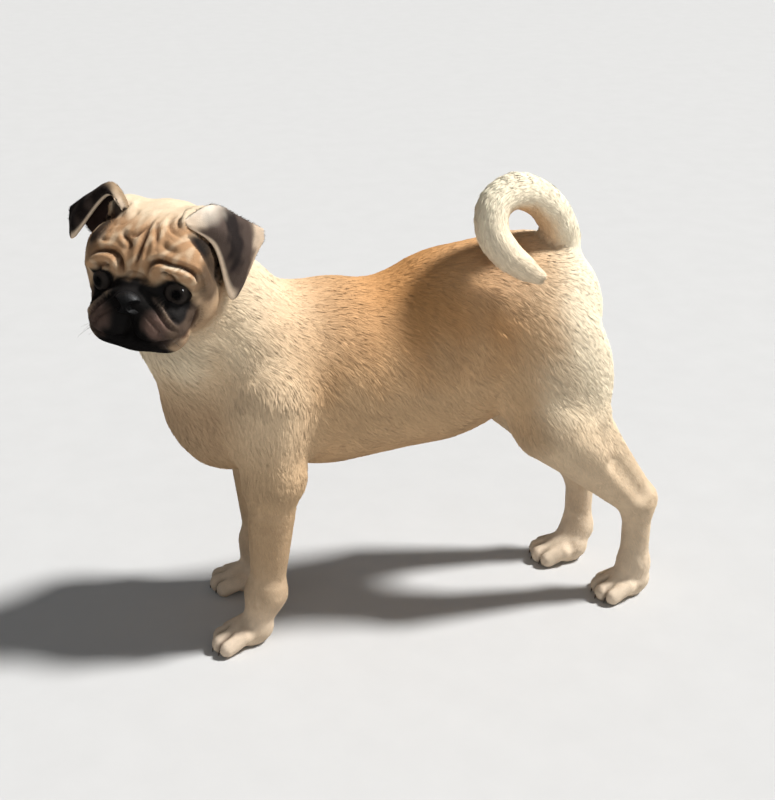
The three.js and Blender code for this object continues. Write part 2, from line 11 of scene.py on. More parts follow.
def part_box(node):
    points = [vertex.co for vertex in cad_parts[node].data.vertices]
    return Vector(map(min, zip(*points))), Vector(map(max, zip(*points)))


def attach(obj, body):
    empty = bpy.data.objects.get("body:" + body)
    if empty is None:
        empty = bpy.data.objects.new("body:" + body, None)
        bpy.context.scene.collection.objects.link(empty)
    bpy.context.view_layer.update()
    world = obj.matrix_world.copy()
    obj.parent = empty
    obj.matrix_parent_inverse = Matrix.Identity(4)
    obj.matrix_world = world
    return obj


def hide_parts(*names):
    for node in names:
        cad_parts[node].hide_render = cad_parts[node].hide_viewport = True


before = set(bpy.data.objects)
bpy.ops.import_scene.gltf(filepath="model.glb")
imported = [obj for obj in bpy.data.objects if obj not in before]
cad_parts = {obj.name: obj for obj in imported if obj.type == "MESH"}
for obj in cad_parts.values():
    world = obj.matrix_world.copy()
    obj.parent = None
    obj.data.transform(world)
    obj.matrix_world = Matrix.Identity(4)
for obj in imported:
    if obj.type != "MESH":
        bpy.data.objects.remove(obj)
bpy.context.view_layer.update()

# Driving sizes, the same as in the solids but for the end of the tail, a little higher here
WITHERS = 228
CROUP = 247
CHEST_HALF_WIDTH = 43
SIDES = {"left": -1, "right": 1}
LEGS = {
    "left": {
        "shoulder": (-84, -30, 168),
        "elbow": (-84, -35, 116),
        "wrist": (-89, -33, 38),
        "front_paw": (-105, -33, 9),
        "front_turn": 12,
        "hip": (96, -26, 190),
        "knee": (94, -33, 130),
        "hock": (154, -31, 70),
        "ankle": (156, -31, 22),
        "hind_paw": (149, -31, 9),
        "hind_turn": 4,
    },
    "right": {
        "shoulder": (-86, 30, 168),
        "elbow": (-88, 35, 116),
        "wrist": (-84, 33, 38),
        "front_paw": (-98, 33, 9),
        "front_turn": 14,
        "hip": (92, 26, 190),
        "knee": (84, 33, 130),
        "hock": (136, 28, 68),
        "ankle": (137, 25, 22),
        "hind_paw": (124, 22, 9),
        "hind_turn": 10,
    },
}
TOES = [(11, -10.8, 5.3), (15.5, -4.3, 5.8), (15.5, 4.3, 5.8), (11, 10.8, 5.3)]
TAIL = [
    (98, 0, 216, 13),
    (104, -3, 236, 13),
    (98, -9, 255, 12.5),
    (85, -16, 271, 12),
    (67, -22, 279, 12),
    (53, -28, 273, 11.5),
    (50, -34, 260, 11),
    (56, -39, 248.5, 10.5),
    (65, -42, 240.5, 9),
    (73, -44, 235, 6.5),
]
TAIL_MIDDLE = (77, -22, 252)
HEAD_AT = np.array([-142.0, -32.0, 249.0])
HEAD_YAW, HEAD_PITCH, HEAD_ROLL = 60, 1, 4
HEAD_MIDDLE = np.array([4.0, 0.0, -3.0])
EYE_AT = (19.5, 20, -0.3)
EYE_RADIUS = 9.4
NOSE_AT = (39, 0, -4.5)
TIP_OF_NOSE = (42, 0, -3)

# Camera: where it looks, and from where, as the photograph was taken
CAMERA = {"azimuth": -13, "elevation": 24, "distance": 900, "lens": 63}
LOOK_AT = (0, 20, 134)


# Frames
def about(axis, degrees):
    return np.array(Matrix.Rotation(math.radians(degrees), 3, axis))


head_turn = (
    about("Z", HEAD_YAW) @ about("Y", -HEAD_PITCH) @ about("X", HEAD_ROLL) @ np.diag([-1, -1, 1])
)


def on_head(place):
    return np.asarray(place, float) @ head_turn.T + HEAD_AT


def in_head(place):
    return (np.asarray(place, float) - HEAD_AT) @ head_turn


def centre_of(node):
    low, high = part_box(node)
    return (np.array(low) + np.array(high)) / 2 * 1000


row_shift = on_head(EYE_AT) - centre_of("eye_left")


def to_row(place):
    return (np.asarray(place, float) - row_shift) / 1000


def from_row(place):
    return np.asarray(place, float) * 1000 + row_shift


# Shapes: functions of places that are negative inside, and about the distance outside
def ball(centre, radii, tilt=0.0):
    centre, radii = np.array(centre, float), np.array(radii, float)
    cos, sin = math.cos(math.radians(tilt)), math.sin(math.radians(tilt))

    def shape(p):
        d = p - centre
        d = np.stack([cos * d[:, 0] + sin * d[:, 2], d[:, 1], cos * d[:, 2] - sin * d[:, 0]], 1)
        near = np.linalg.norm(d / radii, axis=1)
        slope = np.linalg.norm(d / radii**2, axis=1)
        return near * (near - 1) / np.maximum(slope, 1e-6)

    return shape


def limb(start, end, start_radius, end_radius, width=1.0):
    start, end = np.array(start, float), np.array(end, float)
    way = end - start

    def shape(p):
        t = np.clip((p - start) @ way / (way @ way), 0, 1)
        off = p - start - t[:, None] * way
        off[:, 1] /= width
        return np.linalg.norm(off, axis=1) - start_radius - (end_radius - start_radius) * t

    return shape


def path(points, radii):
    spans = [limb(*pair) for pair in zip(points, points[1:], radii, radii[1:])]
    return lambda p: np.min([span(p) for span in spans], axis=0)


def melt(a, b, softness):
    share = np.clip(0.5 + 0.5 * (a - b) / softness, 0, 1)
    return a + (b - a) * share - softness * share * (1 - share)


def joined(softness, shapes):
    def shape(p):
        total = shapes[0](p)
        for part in shapes[1:]:
            total = melt(total, part(p), softness)
        return total

    return shape


def carved(softness, body, tools):
    def shape(p):
        total = body(p)
        for tool in tools:
            total = -melt(-total, tool(p), softness)
        return total

    return shape


def both(make):
    return [make(side) for side in (1, -1)]


def smoothstep(value, low, high):
    t = np.clip((value - low) / (high - low), 0, 1)
    return t * t * (3 - 2 * t)


# A smooth line through points, read at shares from 0 to 1 of its spans
def spline(points, shares):
    points = np.asarray(points, float)
    ends = [2 * points[0] - points[1]], [2 * points[-1] - points[-2]]
    points = np.concatenate([ends[0], points, ends[1]])
    spans = len(points) - 3
    place = np.clip(np.asarray(shares, float), 0, 1) * spans
    first = np.minimum(place.astype(int), spans - 1)
    t = (place - first)[:, None]
    a, b, c, d = (points[first + i] for i in range(4))
    steps = (np.linalg.norm(step, axis=1)[:, None] for step in (b - a, c - b, d - c))
    before, here, after = (np.maximum(step, 1e-4) ** 0.5 for step in steps)
    leave = ((b - a) / before - (c - a) / (before + here) + (c - b) / here) * here
    arrive = ((c - b) / here - (d - b) / (here + after) + (d - c) / after) * here
    return (
        b
        + leave * t
        + (3 * (c - b) - 2 * leave - arrive) * t**2
        + (2 * (b - c) + leave + arrive) * t**3
    )


# The body
def trunk_shape():
    shoulders = [ball((-82, side * 27, 168), (26, 18, 46), 8) for side in (-1, 1)]
    return joined(
        16,
        [
            ball((-44, 0, WITHERS - 61), (74, CHEST_HALF_WIDTH, 60)),
            ball((-104, 0, 153), (38, 34, 44)),
            ball((8, 0, 161), (70, 38, 47), -6),
            ball((40, 0, CROUP - 60), (70, 37, 55), 6),
            ball((81, 0, CROUP - 53), (52, 40, 53), -8),
            *shoulders,
        ],
    )


def neck_shape():
    return joined(
        10,
        [
            limb((-86, 0, 178), (-122, -12, 230), 46, 37, 0.84),
            limb((-112, 0, 162), (-130, -16, 206), 30, 28, 0.95),
        ],
    )


def front_leg_shape(leg):
    elbow, (wx, wy, wz) = np.array(leg["elbow"]), leg["wrist"]
    paw = leg["front_paw"]
    return joined(
        9,
        [
            limb(leg["shoulder"], elbow, 26, 18),
            limb(elbow + (1, 0, 0), leg["wrist"], 17, 10.6),
            ball(elbow + (9.5, 0, 2), (9, 9, 14), 10),
            ball((wx - 1, wy, wz - 3), (10.6, 10.8, 12)),
            limb((wx - 1.5, wy, wz - 4), (paw[0] + 8, paw[1], 12), 10.2, 10),
        ],
    )


def hind_leg_shape(leg):
    hip, knee, hock, ankle, paw = (
        np.array(leg[name]) for name in ("hip", "knee", "hock", "ankle", "hind_paw")
    )
    out = -1 if hip[1] < 0 else 1
    hollow = limb(0.45 * knee + 0.55 * hock + (5, out * 13.5, 9), hock + (0, out * 12.5, 9), 2.2, 3)
    leg_itself = joined(
        9,
        [
            ball((hip[0], hip[1], 160), (38, 21, 54), 8),
            limb(knee, hock, 23.5, 12, 0.85),
            limb(knee + (26, 0, 2), hock + (6, 0, 3), 11, 5, 0.7),
            limb(hock + (2, 0, -2), ankle, 10, 9.4),
            limb(ankle, (paw[0] + 5, paw[1], 12), 9.4, 10),
        ],
    )
    return carved(7, leg_itself, [hollow])


def on_paw(centre, turn, side):
    cos, sin = math.cos(math.radians(turn)), math.sin(math.radians(turn))

    def at(ahead, aside, height):
        return (
            centre[0] - ahead * cos - aside * side * sin,
            centre[1] + ahead * side * sin - aside * side * cos,
            height,
        )

    return at


def toe_shapes(centre, turn, side):
    at = on_paw(centre, turn, side)
    return [
        limb(at(reach - 12, aside * 0.82, 10), at(reach - 1, aside, radius), 5.6, radius + 0.5)
        for reach, aside, radius in TOES
    ]


def paw_shape(centre, turn, side):
    at = on_paw(centre, turn, side)
    foot = limb(at(-9, 0, 10.5), at(1, 0, 9.5), 10, 9)
    heel_pad = ball(at(-4, 0, 3.5), (9, 9, 4.5))
    return joined(4, [joined(1.4, toe_shapes(centre, turn, side)), foot, heel_pad])


def ahead_on_paw(p, centre, turn, side):
    cos, sin = math.cos(math.radians(turn)), math.sin(math.radians(turn))
    return (centre[0] - p[:, 0]) * cos + (p[:, 1] - centre[1]) * side * sin


# How deep each place lies in the cleft between two toes
def clefts_of(p):
    total = np.zeros(len(p))
    for name, side in SIDES.items():
        leg = LEGS[name]
        for end in ("front", "hind"):
            toes = toe_shapes(leg[f"{end}_paw"], leg[f"{end}_turn"], side)
            near = np.sort(np.stack([toe(p) for toe in toes]), axis=0)
            between = np.exp(-(((near[1] - near[0]) / 1.3) ** 2))
            ahead = ahead_on_paw(p, leg[f"{end}_paw"], leg[f"{end}_turn"], side)
            between *= (1 - smoothstep(near[0], 1.0, 4.0)) * smoothstep(ahead, 7, 13)
            total = np.maximum(total, between)
    return total


def tail_shape():
    shares = np.linspace(0, 1, 31)
    line = spline([row[:3] for row in TAIL], shares)
    radii = np.interp(shares, np.linspace(0, 1, len(TAIL)), [row[3] for row in TAIL])
    return path(list(line), list(radii))


# The head, in its own axes
def skull_shape():
    return joined(
        10,
        [
            ball((-10, 0, 7), (34, 35, 31)),
            ball((9, 0, 12), (20, 30, 21)),
            *both(lambda s: ball((4, s * 21, -10), (20, 15.5, 19))),
            ball((-2, 0, -18), (26, 25, 18)),
            *both(lambda s: ball((16, s * 22, 3), (14, 13, 13))),
            *both(lambda s: ball((13, s * 22.5, 16), (13, 12, 11))),
            *both(lambda s: ball((-6, s * 23, 30), (13, 9, 9))),
        ],
    )


def muzzle_shape():
    return joined(
        5,
        [
            *both(lambda s: ball((26.5, s * 13.5, -17.5), (15.5, 15, 15))),
            *both(lambda s: ball((25, s * 17, -24), (12, 11, 11))),
            ball((28, 0, -6), (13, 16, 10)),
            ball((25, 0, -28), (14, 17, 8.5)),
        ],
    )


muzzle = muzzle_shape()
smooth_head = joined(6, [skull_shape(), muzzle])
ear_hollows = both(lambda s: limb((3, s * 27, 29), (-4, s * 36, 3), 4.5, 3.5))
hollowed_head = carved(3, smooth_head, ear_hollows)
nose_shape = joined(
    3,
    [
        ball((39, 0, -4), (5.5, 6, 6)),
        *both(lambda s: ball((39, s * 4, -5), (5, 3.8, 4.6))),
    ],
)


# How far each way from a place inside a shape its surface is
def reach(shape, origin, ways, furthest=90.0):
    inside, outside = np.zeros(len(ways)), np.full(len(ways), furthest)
    for _ in range(24):
        middle = (inside + outside) / 2
        within = shape(origin + ways * middle[:, None]) < 0
        inside = np.where(within, middle, inside)
        outside = np.where(within, outside, middle)
    return inside


def on_skin(places):
    ways = np.asarray(places, float) - HEAD_MIDDLE
    ways /= np.linalg.norm(ways, axis=1)[:, None]
    return HEAD_MIDDLE + ways * reach(smooth_head, HEAD_MIDDLE, ways)[:, None]


# Parts of the whole shape by name, so that each can have its own coat
def part_shapes():
    parts = {"trunk": trunk_shape(), "neck": neck_shape(), "tail": tail_shape()}
    parts["head"] = lambda p: hollowed_head(in_head(p))
    for name, side in SIDES.items():
        leg = LEGS[name]
        parts[f"front_leg_{name}"] = front_leg_shape(leg)
        parts[f"hind_leg_{name}"] = hind_leg_shape(leg)
        parts[f"front_paw_{name}"] = paw_shape(leg["front_paw"], leg["front_turn"], side)
        parts[f"hind_paw_{name}"] = paw_shape(leg["hind_paw"], leg["hind_turn"], side)
    return parts


PARTS = part_shapes()


def whole_dog(p):
    near = {name: shape(p) for name, shape in PARTS.items()}
    total = melt(near["trunk"], near["neck"], 14)
    for name in SIDES:
        total = melt(total, near[f"front_leg_{name}"], 9)
        total = melt(total, near[f"hind_leg_{name}"], 9)
    for name in SIDES:
        total = melt(total, near[f"front_paw_{name}"], 4)
        total = melt(total, near[f"hind_paw_{name}"], 4)
    total = melt(total, near["head"], 7)
    from_root = np.linalg.norm(p - np.array(TAIL[0][:3]), axis=1)
    return melt(total, near["tail"], 0.6 + 7 * (1 - smoothstep(from_root, 22, 38)))


def slope_of(shape, p, value, step=0.2):
    slopes = [(shape(p + step * way) - value) / step for way in np.eye(3)]
    return np.stack(slopes, axis=1)


# Draws places to where the shape lies at the given depth under its surface
def settle(p, shape, depth, rounds):
    for _ in range(rounds):
        value = shape(p)
        slope = slope_of(shape, p, value)
        step = (value + depth)[:, None] * slope / np.maximum((slope**2).sum(1), 0.3)[:, None]
        size = np.linalg.norm(step, axis=1)[:, None]
        p = p - step * np.minimum(1, 2.0 / np.maximum(size, 1e-9))
    return p


def unit(ways):
    return ways / np.maximum(np.linalg.norm(ways, axis=1), 1e-9)[:, None]


# The same noise drawn out along the coat, so that it falls in streaks
def streaks(p, ways, size, length, seed):
    steps = np.linspace(-length / 2, length / 2, 7)
    return np.mean([waves(p + ways * step, size, seed) for step in steps], axis=0)


# Smooth noise from -1 to 1: a few waves in set directions
def waves(p, size, seed):
    rng = np.random.default_rng(seed)
    ways = unit(rng.normal(size=(9, 3))) * rng.uniform(0.7, 1.5, (9, 1)) / size
    phases = rng.uniform(0, 2 * math.pi, 9)
    return np.sin(p @ ways.T * 2 * math.pi + phases).mean(axis=1) * 2


# Meshes
def deselect():
    if bpy.context.object and bpy.context.object.mode != "OBJECT":
        bpy.ops.object.mode_set(mode="OBJECT")
    bpy.ops.object.select_all(action="DESELECT")


def make_active(piece):
    deselect()
    piece.select_set(True)
    bpy.context.view_layer.objects.active = piece


def apply_modifier(piece, kind, **settings):
    make_active(piece)
    modifier = piece.modifiers.new(kind.title(), kind)
    for key, value in settings.items():
        setattr(modifier, key, value)
    bpy.ops.object.modifier_apply(modifier=modifier.name)


# What a mesh keeps for each corner or face, such as its place, as rows of three numbers
def read_rows(items, what):
    flat = np.empty(len(items) * 3, np.float32)
    items.foreach_get(what, flat)
    return flat.reshape(-1, 3).astype(float)


def corners_of(piece):
    return from_row(read_rows(piece.data.vertices, "co"))


def move_corners(piece, places):
    flat = to_row(places).astype(np.float32).ravel()
    piece.data.vertices.foreach_set("co", flat)
    piece.data.update()


def mesh_piece(name, places, triangles):
    mesh = bpy.data.meshes.new(name)
    mesh.vertices.add(len(places))
    mesh.vertices.foreach_set("co", to_row(places).astype(np.float32).ravel())
    mesh.loops.add(triangles.size)
    mesh.loops.foreach_set("vertex_index", triangles.astype(np.int32).ravel())
    mesh.polygons.add(len(triangles))
    mesh.polygons.foreach_set("loop_start", np.arange(0, triangles.size, 3, dtype=np.int32))
    mesh.update(calc_edges=True)
    piece = bpy.data.objects.new(name, mesh)
    bpy.context.scene.collection.objects.link(piece)
    return piece


def paint_corners(piece, name, colours):
    layer = piece.data.color_attributes.new(name, "FLOAT_COLOR", "POINT")
    rgba = np.ones((len(colours), 4), np.float32)
    rgba[:, :3] = colours
    layer.data.foreach_set("color", rgba.ravel())


def shade_smooth(piece):
    piece.data.polygons.foreach_set("use_smooth", np.ones(len(piece.data.polygons), bool))
    piece.data.update()


def finish_piece(piece, material, replaced=()):
    piece.data.materials.clear()
    piece.data.materials.append(material)
    shade_smooth(piece)
    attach(piece, "root")
    if replaced:
        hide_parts(*replaced)


# Shader maths written as Python
class Value:
    """A shader socket that takes part in expressions."""

    def __init__(self, finish, socket):
        self.finish, self.socket = finish, socket

    def maths(self, operation, *values):
        return self.finish.node("ShaderNodeMath", {"operation": operation}, dict(enumerate(values)))

    def __add__(self, other):
        return self.maths("ADD", self, other)

    def __sub__(self, other):
        return self.maths("SUBTRACT", self, other)

    def __mul__(self, other):
        return self.maths("MULTIPLY", self, other)

    def __rsub__(self, other):
        return self.maths("SUBTRACT", other, self)

    __radd__, __rmul__ = __add__, __mul__


class Finish:
    """A material being made, with one method that adds any node."""

    def __init__(self, name):
        self.material = bpy.data.materials.new(name)
        self.material.use_nodes = True
        self.tree = self.material.node_tree
        self.tree.nodes.clear()

    def node(self, kind, settings=None, values=None, out=0):
        node = self.tree.nodes.new(kind)
        for key, value in (settings or {}).items():
            setattr(node, key, value)
        for key, value in (values or {}).items():
            if isinstance(value, Value):
                self.tree.links.new(value.socket, node.inputs[key])
            else:
                node.inputs[key].default_value = value
        return Value(self, node.outputs[out])

    def surface(self, **values):
        shader = self.node("ShaderNodeBsdfPrincipled", values=values)
        end = self.tree.nodes.new("ShaderNodeOutputMaterial")
        self.tree.links.new(shader.socket, end.inputs["Surface"])
        return self.material

    def place(self):
        return self.node("ShaderNodeTexCoord", out="Object")

    def noise(self, scale, detail=3.0, roughness=0.6):
        values = {"Vector": self.place(), "Scale": scale, "Detail": detail, "Roughness": roughness}
        return self.node("ShaderNodeTexNoise", values=values)

    def bump(self, height, strength, distance):
        values = {"Height": height, "Strength": strength, "Distance": distance}
        return self.node("ShaderNodeBump", values=values)

    def painted(self, name):
        return self.node("ShaderNodeVertexColor", {"layer_name": name})

    def mixed(self, factor, a, b, blend="MIX"):
        settings = {"data_type": "RGBA", "blend_type": blend}
        return self.node("ShaderNodeMix", settings, {0: factor, 6: a, 7: b}, out=2)


def linear(text):
    value = np.array([int(text[i : i + 2], 16) for i in (1, 3, 5)]) / 255
    return np.where(value <= 0.04045, value / 12.92, ((value + 0.055) / 1.055) ** 2.4)


# Creases and rolls of the head: lines over its skin, how wide, and how deep or high
FOREHEAD_CREASES = [
    ([(8.6, 2.8, 35.4), (16.2, 2.1, 31), (23, 2, 24.5), (26.6, 0.8, 16.4), (28, -1, 11)], 1.3, 2.6),
    ([(9.5, 6.6, 34.6), (14.1, 5.4, 32), (20, 8.1, 27.6), (24.7, 9.5, 22.5)], 1.2, 2.0),
    (
        [(11.4, 2.4, 33.8), (16.2, 1.1, 31.3), (20.8, -1, 29), (22.6, -4.5, 27.1), (20.5, -8.3, 26.6)],
        1.2,
        1.9,
    ),
    ([(19.5, -11.1, 26.6), (21.9, -8.4, 24.7), (25.7, -4.6, 23.6), (27.2, -5.8, 20.1)], 1.5, 2.1),
    (
        [(1.2, 13, 36.5), (5.3, 11.3, 35.2), (9.7, 11, 33.8), (15, 14.6, 29.3), (16.1, 22.5, 24.9)],
        1.3,
        1.7,
    ),
    ([(2, -12, 37), (10, -10.5, 34), (15, -14.5, 30), (16, -21, 26)], 1.3, 1.5),
    ([(12, -18.7, 30.6), (18.9, -19.4, 25), (21.6, -19.7, 20.5), (23.3, -14.1, 21.2)], 1.3, 1.3),
    ([(-2.8, 15, 38.3), (4.7, 15, 35.7), (8.5, 15.4, 33.1), (12.5, 17.5, 29.5)], 1.4, 1.6),
    ([(21, 10, 26), (23, 15, 22), (22, 21, 19)], 1.7, 1.2),
    ([(22, 4.5, 26), (25, 5, 21), (27, 4, 16)], 1.4, 1.1),
]
LEFT_BROW_CREASE = [
    (29.2, 6, 7),
    (28.8, 7.7, 13.4),
    (28.2, 10.2, 16.6),
    (28, 14, 17.9),
    (28.6, 20, 16.8),
    (27.9, 25.5, 16.2),
    (24.8, 31.6, 13),
    (22.5, 34, 8),
    (21.7, 34.7, 3),
]
RIGHT_BROW_CREASE = [
    (29.3, -7.5, 6),
    (29, -8.3, 11.9),
    (28.3, -10.1, 15.9),
    (27.7, -14, 18.4),
    (28.2, -22, 17.7),
    (27.9, -27, 14),
]
LEFT_BROW_ROLL = [
    (29.5, 8.2, 5.7),
    (29.1, 9, 9.4),
    (28.9, 11.4, 13),
    (29, 16, 14.8),
    (28.9, 23.6, 14),
    (27.2, 28.5, 12),
    (25, 31.5, 7.5),
]
RIGHT_BROW_ROLL = [
    (29.3, -9.9, 6.3),
    (29.1, -11, 11),
    (28.7, -15, 15.2),
    (28.8, -21, 15.4),
    (28.6, -26.4, 11.8),
    (26, -30, 6),
]
BROW_CREASES = [(LEFT_BROW_CREASE, 1.5, 2.9), (RIGHT_BROW_CREASE, 1.5, 2.9)]
BROW_ROLLS = [(LEFT_BROW_ROLL, 2.7, 2.7), (RIGHT_BROW_ROLL, 2.5, 2.4)]
LID_CREASES = [
    ([(29.4, 13.5, 11.4), (29.5, 17.5, 12.4), (29.7, 21.5, 11), (29, 24.5, 8.8)], 1.1, 2.0),
    ([(29.4, -13, 10), (29.3, -17.5, 11.6), (29, -22, 10.4), (28, -25.5, 8)], 1.1, 2.0),
]
LEFT_EAR_CREASE = [
    (12.8, 22, 31),
    (13.3, 26.7, 28.4),
    (14.4, 31, 24.8),
    (13.6, 35, 18.4),
    (9.4, 36.7, 9.7),
    (3, 36.5, 2),
]
RIGHT_EAR_CREASE = [(10, -19, 33), (9, -25, 31), (7, -30, 27), (5, -34, 21)]
EAR_CREASES = [(LEFT_EAR_CREASE, 2.8, 2.6), (RIGHT_EAR_CREASE, 2.8, 2.4)]
EAR_ROLLS = [
    ([(13, 20.5, 29), (9.5, 18.5, 33), (4, 18.5, 37.5), (-3, 19, 39.5)], 2.3, 3.0),
    ([(11, -16.5, 32), (8.5, -14.5, 35), (4, -14.5, 38), (-3, -17, 40)], 2.3, 3.0),
]


# A line on the left of the head and its mirror image on the right
def mirrored(width, height, *points):
    right = [(ahead, -left, up) for ahead, left, up in points]
    return [(points, width, height), (right, width, height)]


OVER_NOSE = [(31, -14, 3), (33, -8, 4.5), (35, 0, 5.6), (33.5, 8, 4.5), (32, 14, 2.6)]
CHEEK_ROLLS = mirrored(
    1.4,
    1.7,
    (33.7, 9.9, 0.6),
    (34.4, 14.5, -2.9),
    (36, 19.4, -7.2),
    (36, 23.6, -12.4),
    (33, 26.7, -17.4),
)
NOSE_ROLLS = [
    (OVER_NOSE, 2.2, 1.8),
    *CHEEK_ROLLS,
    *mirrored(2.4, 1.0, (26, 28, -15), (22, 31, -11), (19, 33, -4)),
]
ABOVE_NOSE = [(31, -11, 7), (31, -3, 10), (31, 3, 9.6), (31, 10, 7)]
ROLL_EDGES = [
    *mirrored(
        1.1,
        2.2,
        (35.3, 7, 1.4),
        (36.2, 11.1, -2.1),
        (37, 15.7, -6.3),
        (38.3, 20.1, -10.6),
        (37, 23.8, -15),
        (34, 26.4, -18),
    ),
    *mirrored(
        1.1,
        2.0,
        (31.8, 12.6, 1.2),
        (33.3, 17.1, -3.6),
        (35.2, 21, -7.6),
        (34.9, 24.7, -11.7),
        (31.5, 27.5, -15),
    ),
]
CHEEK_FOLDS = mirrored(
    2.0,
    2.2,
    (32.4, 27.4, -23.1),
    (26, 29, -23),
    (20.5, 29.3, -21.7),
    (18.7, 30.6, -17),
    (19.3, 32, -12),
    (19.8, 33, -8),
)
LIP_FOLDS = [
    *mirrored(
        1.0,
        1.3,
        (39.8, 8.4, -8.2),
        (40.5, 12.6, -11),
        (41.2, 16.8, -14.4),
        (40.7, 19.6, -18.2),
        (39.1, 21.9, -20.7),
    ),
    *mirrored(0.9, 0.8, (31.9, 22.6, -6.4), (30.4, 25.3, -8.4), (27.4, 27.6, -8.5), (25, 30, -5.8)),
]
NOSE_CREASES = [(ABOVE_NOSE, 1.5, 1.4), *ROLL_EDGES, *CHEEK_FOLDS, *LIP_FOLDS]
MOUTH_LINES = [
    *mirrored(0.8, 1.0, (41, 14, -12), (40.8, 18, -14.5), (40.6, 19, -17.5), (40.6, 16.5, -19.3)),
    ([(41, 0, -9.5), (39, 0, -14), (38, 0, -18.5)], 0.9, 1.9),
    *mirrored(
        1.0,
        2.6,
        (38, 0, -18.5),
        (38, 1.8, -23),
        (39, 8.6, -25.9),
        (40, 15.3, -25.3),
        (38.5, 21.5, -23.8),
        (33.5, 26.8, -21.6),
    ),
]


# Distance of each place from a line laid over the skin, less strong towards its ends
def near_line(places, points, width):
    line = on_skin(spline(points, np.linspace(0, 1, 5 * (len(points) - 1) + 1)))
    best = np.full(len(places), 1e9)
    share = np.zeros(len(places))
    for i, (start, end) in enumerate(zip(line, line[1:])):
        way = end - start
        t = np.clip((places - start) @ way / (way @ way), 0, 1)
        off = np.linalg.norm(places - start - t[:, None] * way, axis=1)
        nearer = off < best
        best = np.where(nearer, off, best)
        share = np.where(nearer, (i + t) / (len(line) - 1), share)
    fade = np.minimum(1, 0.15 + 3.2 * np.minimum(share, 1 - share))
    return best / width, fade


def strongest(places, lines, profile):
    total = np.zeros(len(places))
    for points, width, height in lines:
        off, fade = near_line(places, points, width)
        total = np.maximum(total, height * fade * profile(off))
    return total


def line_strength(places, lines):
    return strongest(places, lines, lambda off: np.exp(-(off**2)))


# The low swell of the skin along both sides of a crease
def shoulders_of(places, lines):
    return strongest(places, lines, lambda off: 0.28 * np.exp(-((off - 2.1) ** 2) * 1.1))


# The skin
SKIN_VOXEL = 0.002
SKIN_SWELL = 0.0005
IN_PITS = ("eye_left", "eye_right", "nose")


def flesh_nodes():
    apart = {*IN_PITS, "ear_left", "ear_right"}
    return [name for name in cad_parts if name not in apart]


# The flesh nodes, merged and remeshed as one closed skin, with the eyes and nose filling their pits
def rough_skin():
    copies = []
    for name in [*flesh_nodes(), *IN_PITS]:
        twin = bpy.data.objects.new("skin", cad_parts[name].data.copy())
        bpy.context.scene.collection.objects.link(twin)
        copies.append(twin)
    deselect()
    for twin in copies:
        twin.select_set(True)
    bpy.context.view_layer.objects.active = copies[0]
    bpy.ops.object.join()
    skin = bpy.context.object
    skin.name = "skin"
    bpy.ops.object.mode_set(mode="EDIT")
    bpy.ops.mesh.select_all(action="SELECT")
    bpy.ops.mesh.remove_doubles(threshold=0.00001)
    bpy.ops.object.mode_set(mode="OBJECT")
    apply_modifier(skin, "DISPLACE", strength=SKIN_SWELL, mid_level=0.0)
    apply_modifier(skin, "REMESH", mode="VOXEL", voxel_size=SKIN_VOXEL)
    return skin


def subdivide_where(piece, chosen):
    make_active(piece)
    bpy.ops.object.mode_set(mode="EDIT")
    bpy.ops.mesh.select_mode(type="FACE")
    bpy.ops.mesh.select_all(action="DESELECT")
    bpy.ops.object.mode_set(mode="OBJECT")
    piece.data.polygons.foreach_set("select", chosen(from_row(read_rows(piece.data.polygons, "center"))))
    bpy.ops.object.mode_set(mode="EDIT")
    bpy.ops.mesh.subdivide(number_cuts=1, smoothness=0)
    bpy.ops.object.mode_set(mode="OBJECT")


def face_is_near(p):
    h = in_head(p)
    return (h[:, 0] > -8) & (smooth_head(h) < 4)


def eye_is_near(p):
    h = in_head(p)
    return np.min([ball((27, s * 26, 2), (9, 11, 11))(h) for s in (1, -1)], axis=0) < 0


def toe_is_near(p):
    return p[:, 2] < 17


# How much each part of the dog has a say at each place
def shares_of(p, softness=5.0):
    near = np.stack([shape(p) for shape in PARTS.values()], axis=1)
    weight = np.exp(-np.maximum(near - near.min(axis=1, keepdims=True), 0) / softness)
    return dict(zip(PARTS, (weight / weight.sum(axis=1, keepdims=True)).T))


# Coat of each part: length and width of a tuft, its lift off the skin in degrees, how many to a
# square millimetre, how deep the skin lies under the solid's surface, and how much the coat waves
COAT = {
    "trunk": (7.0, 0.85, 7, 1.2, 1.1, 1.0),
    "neck": (8.5, 0.95, 9, 1.2, 1.5, 1.0),
    "tail": (6.2, 0.8, 7, 2.3, 1.7, 0.2),
    "thigh": (8.0, 0.9, 8, 1.15, 1.2, 1.0),
    "leg": (3.8, 0.55, 6, 1.7, 0.5, 0.7),
    "paw": (2.0, 0.45, 6, 2.4, 0.3, 0.3),
    "skull": (2.4, 0.42, 8, 3.0, 0.6, 0.6),
    "muzzle": (1.4, 0.32, 8, 3.2, 0.25, 0.3),
    "ear": (2.2, 0.42, 8, 2.2, 0, 0.3),
}


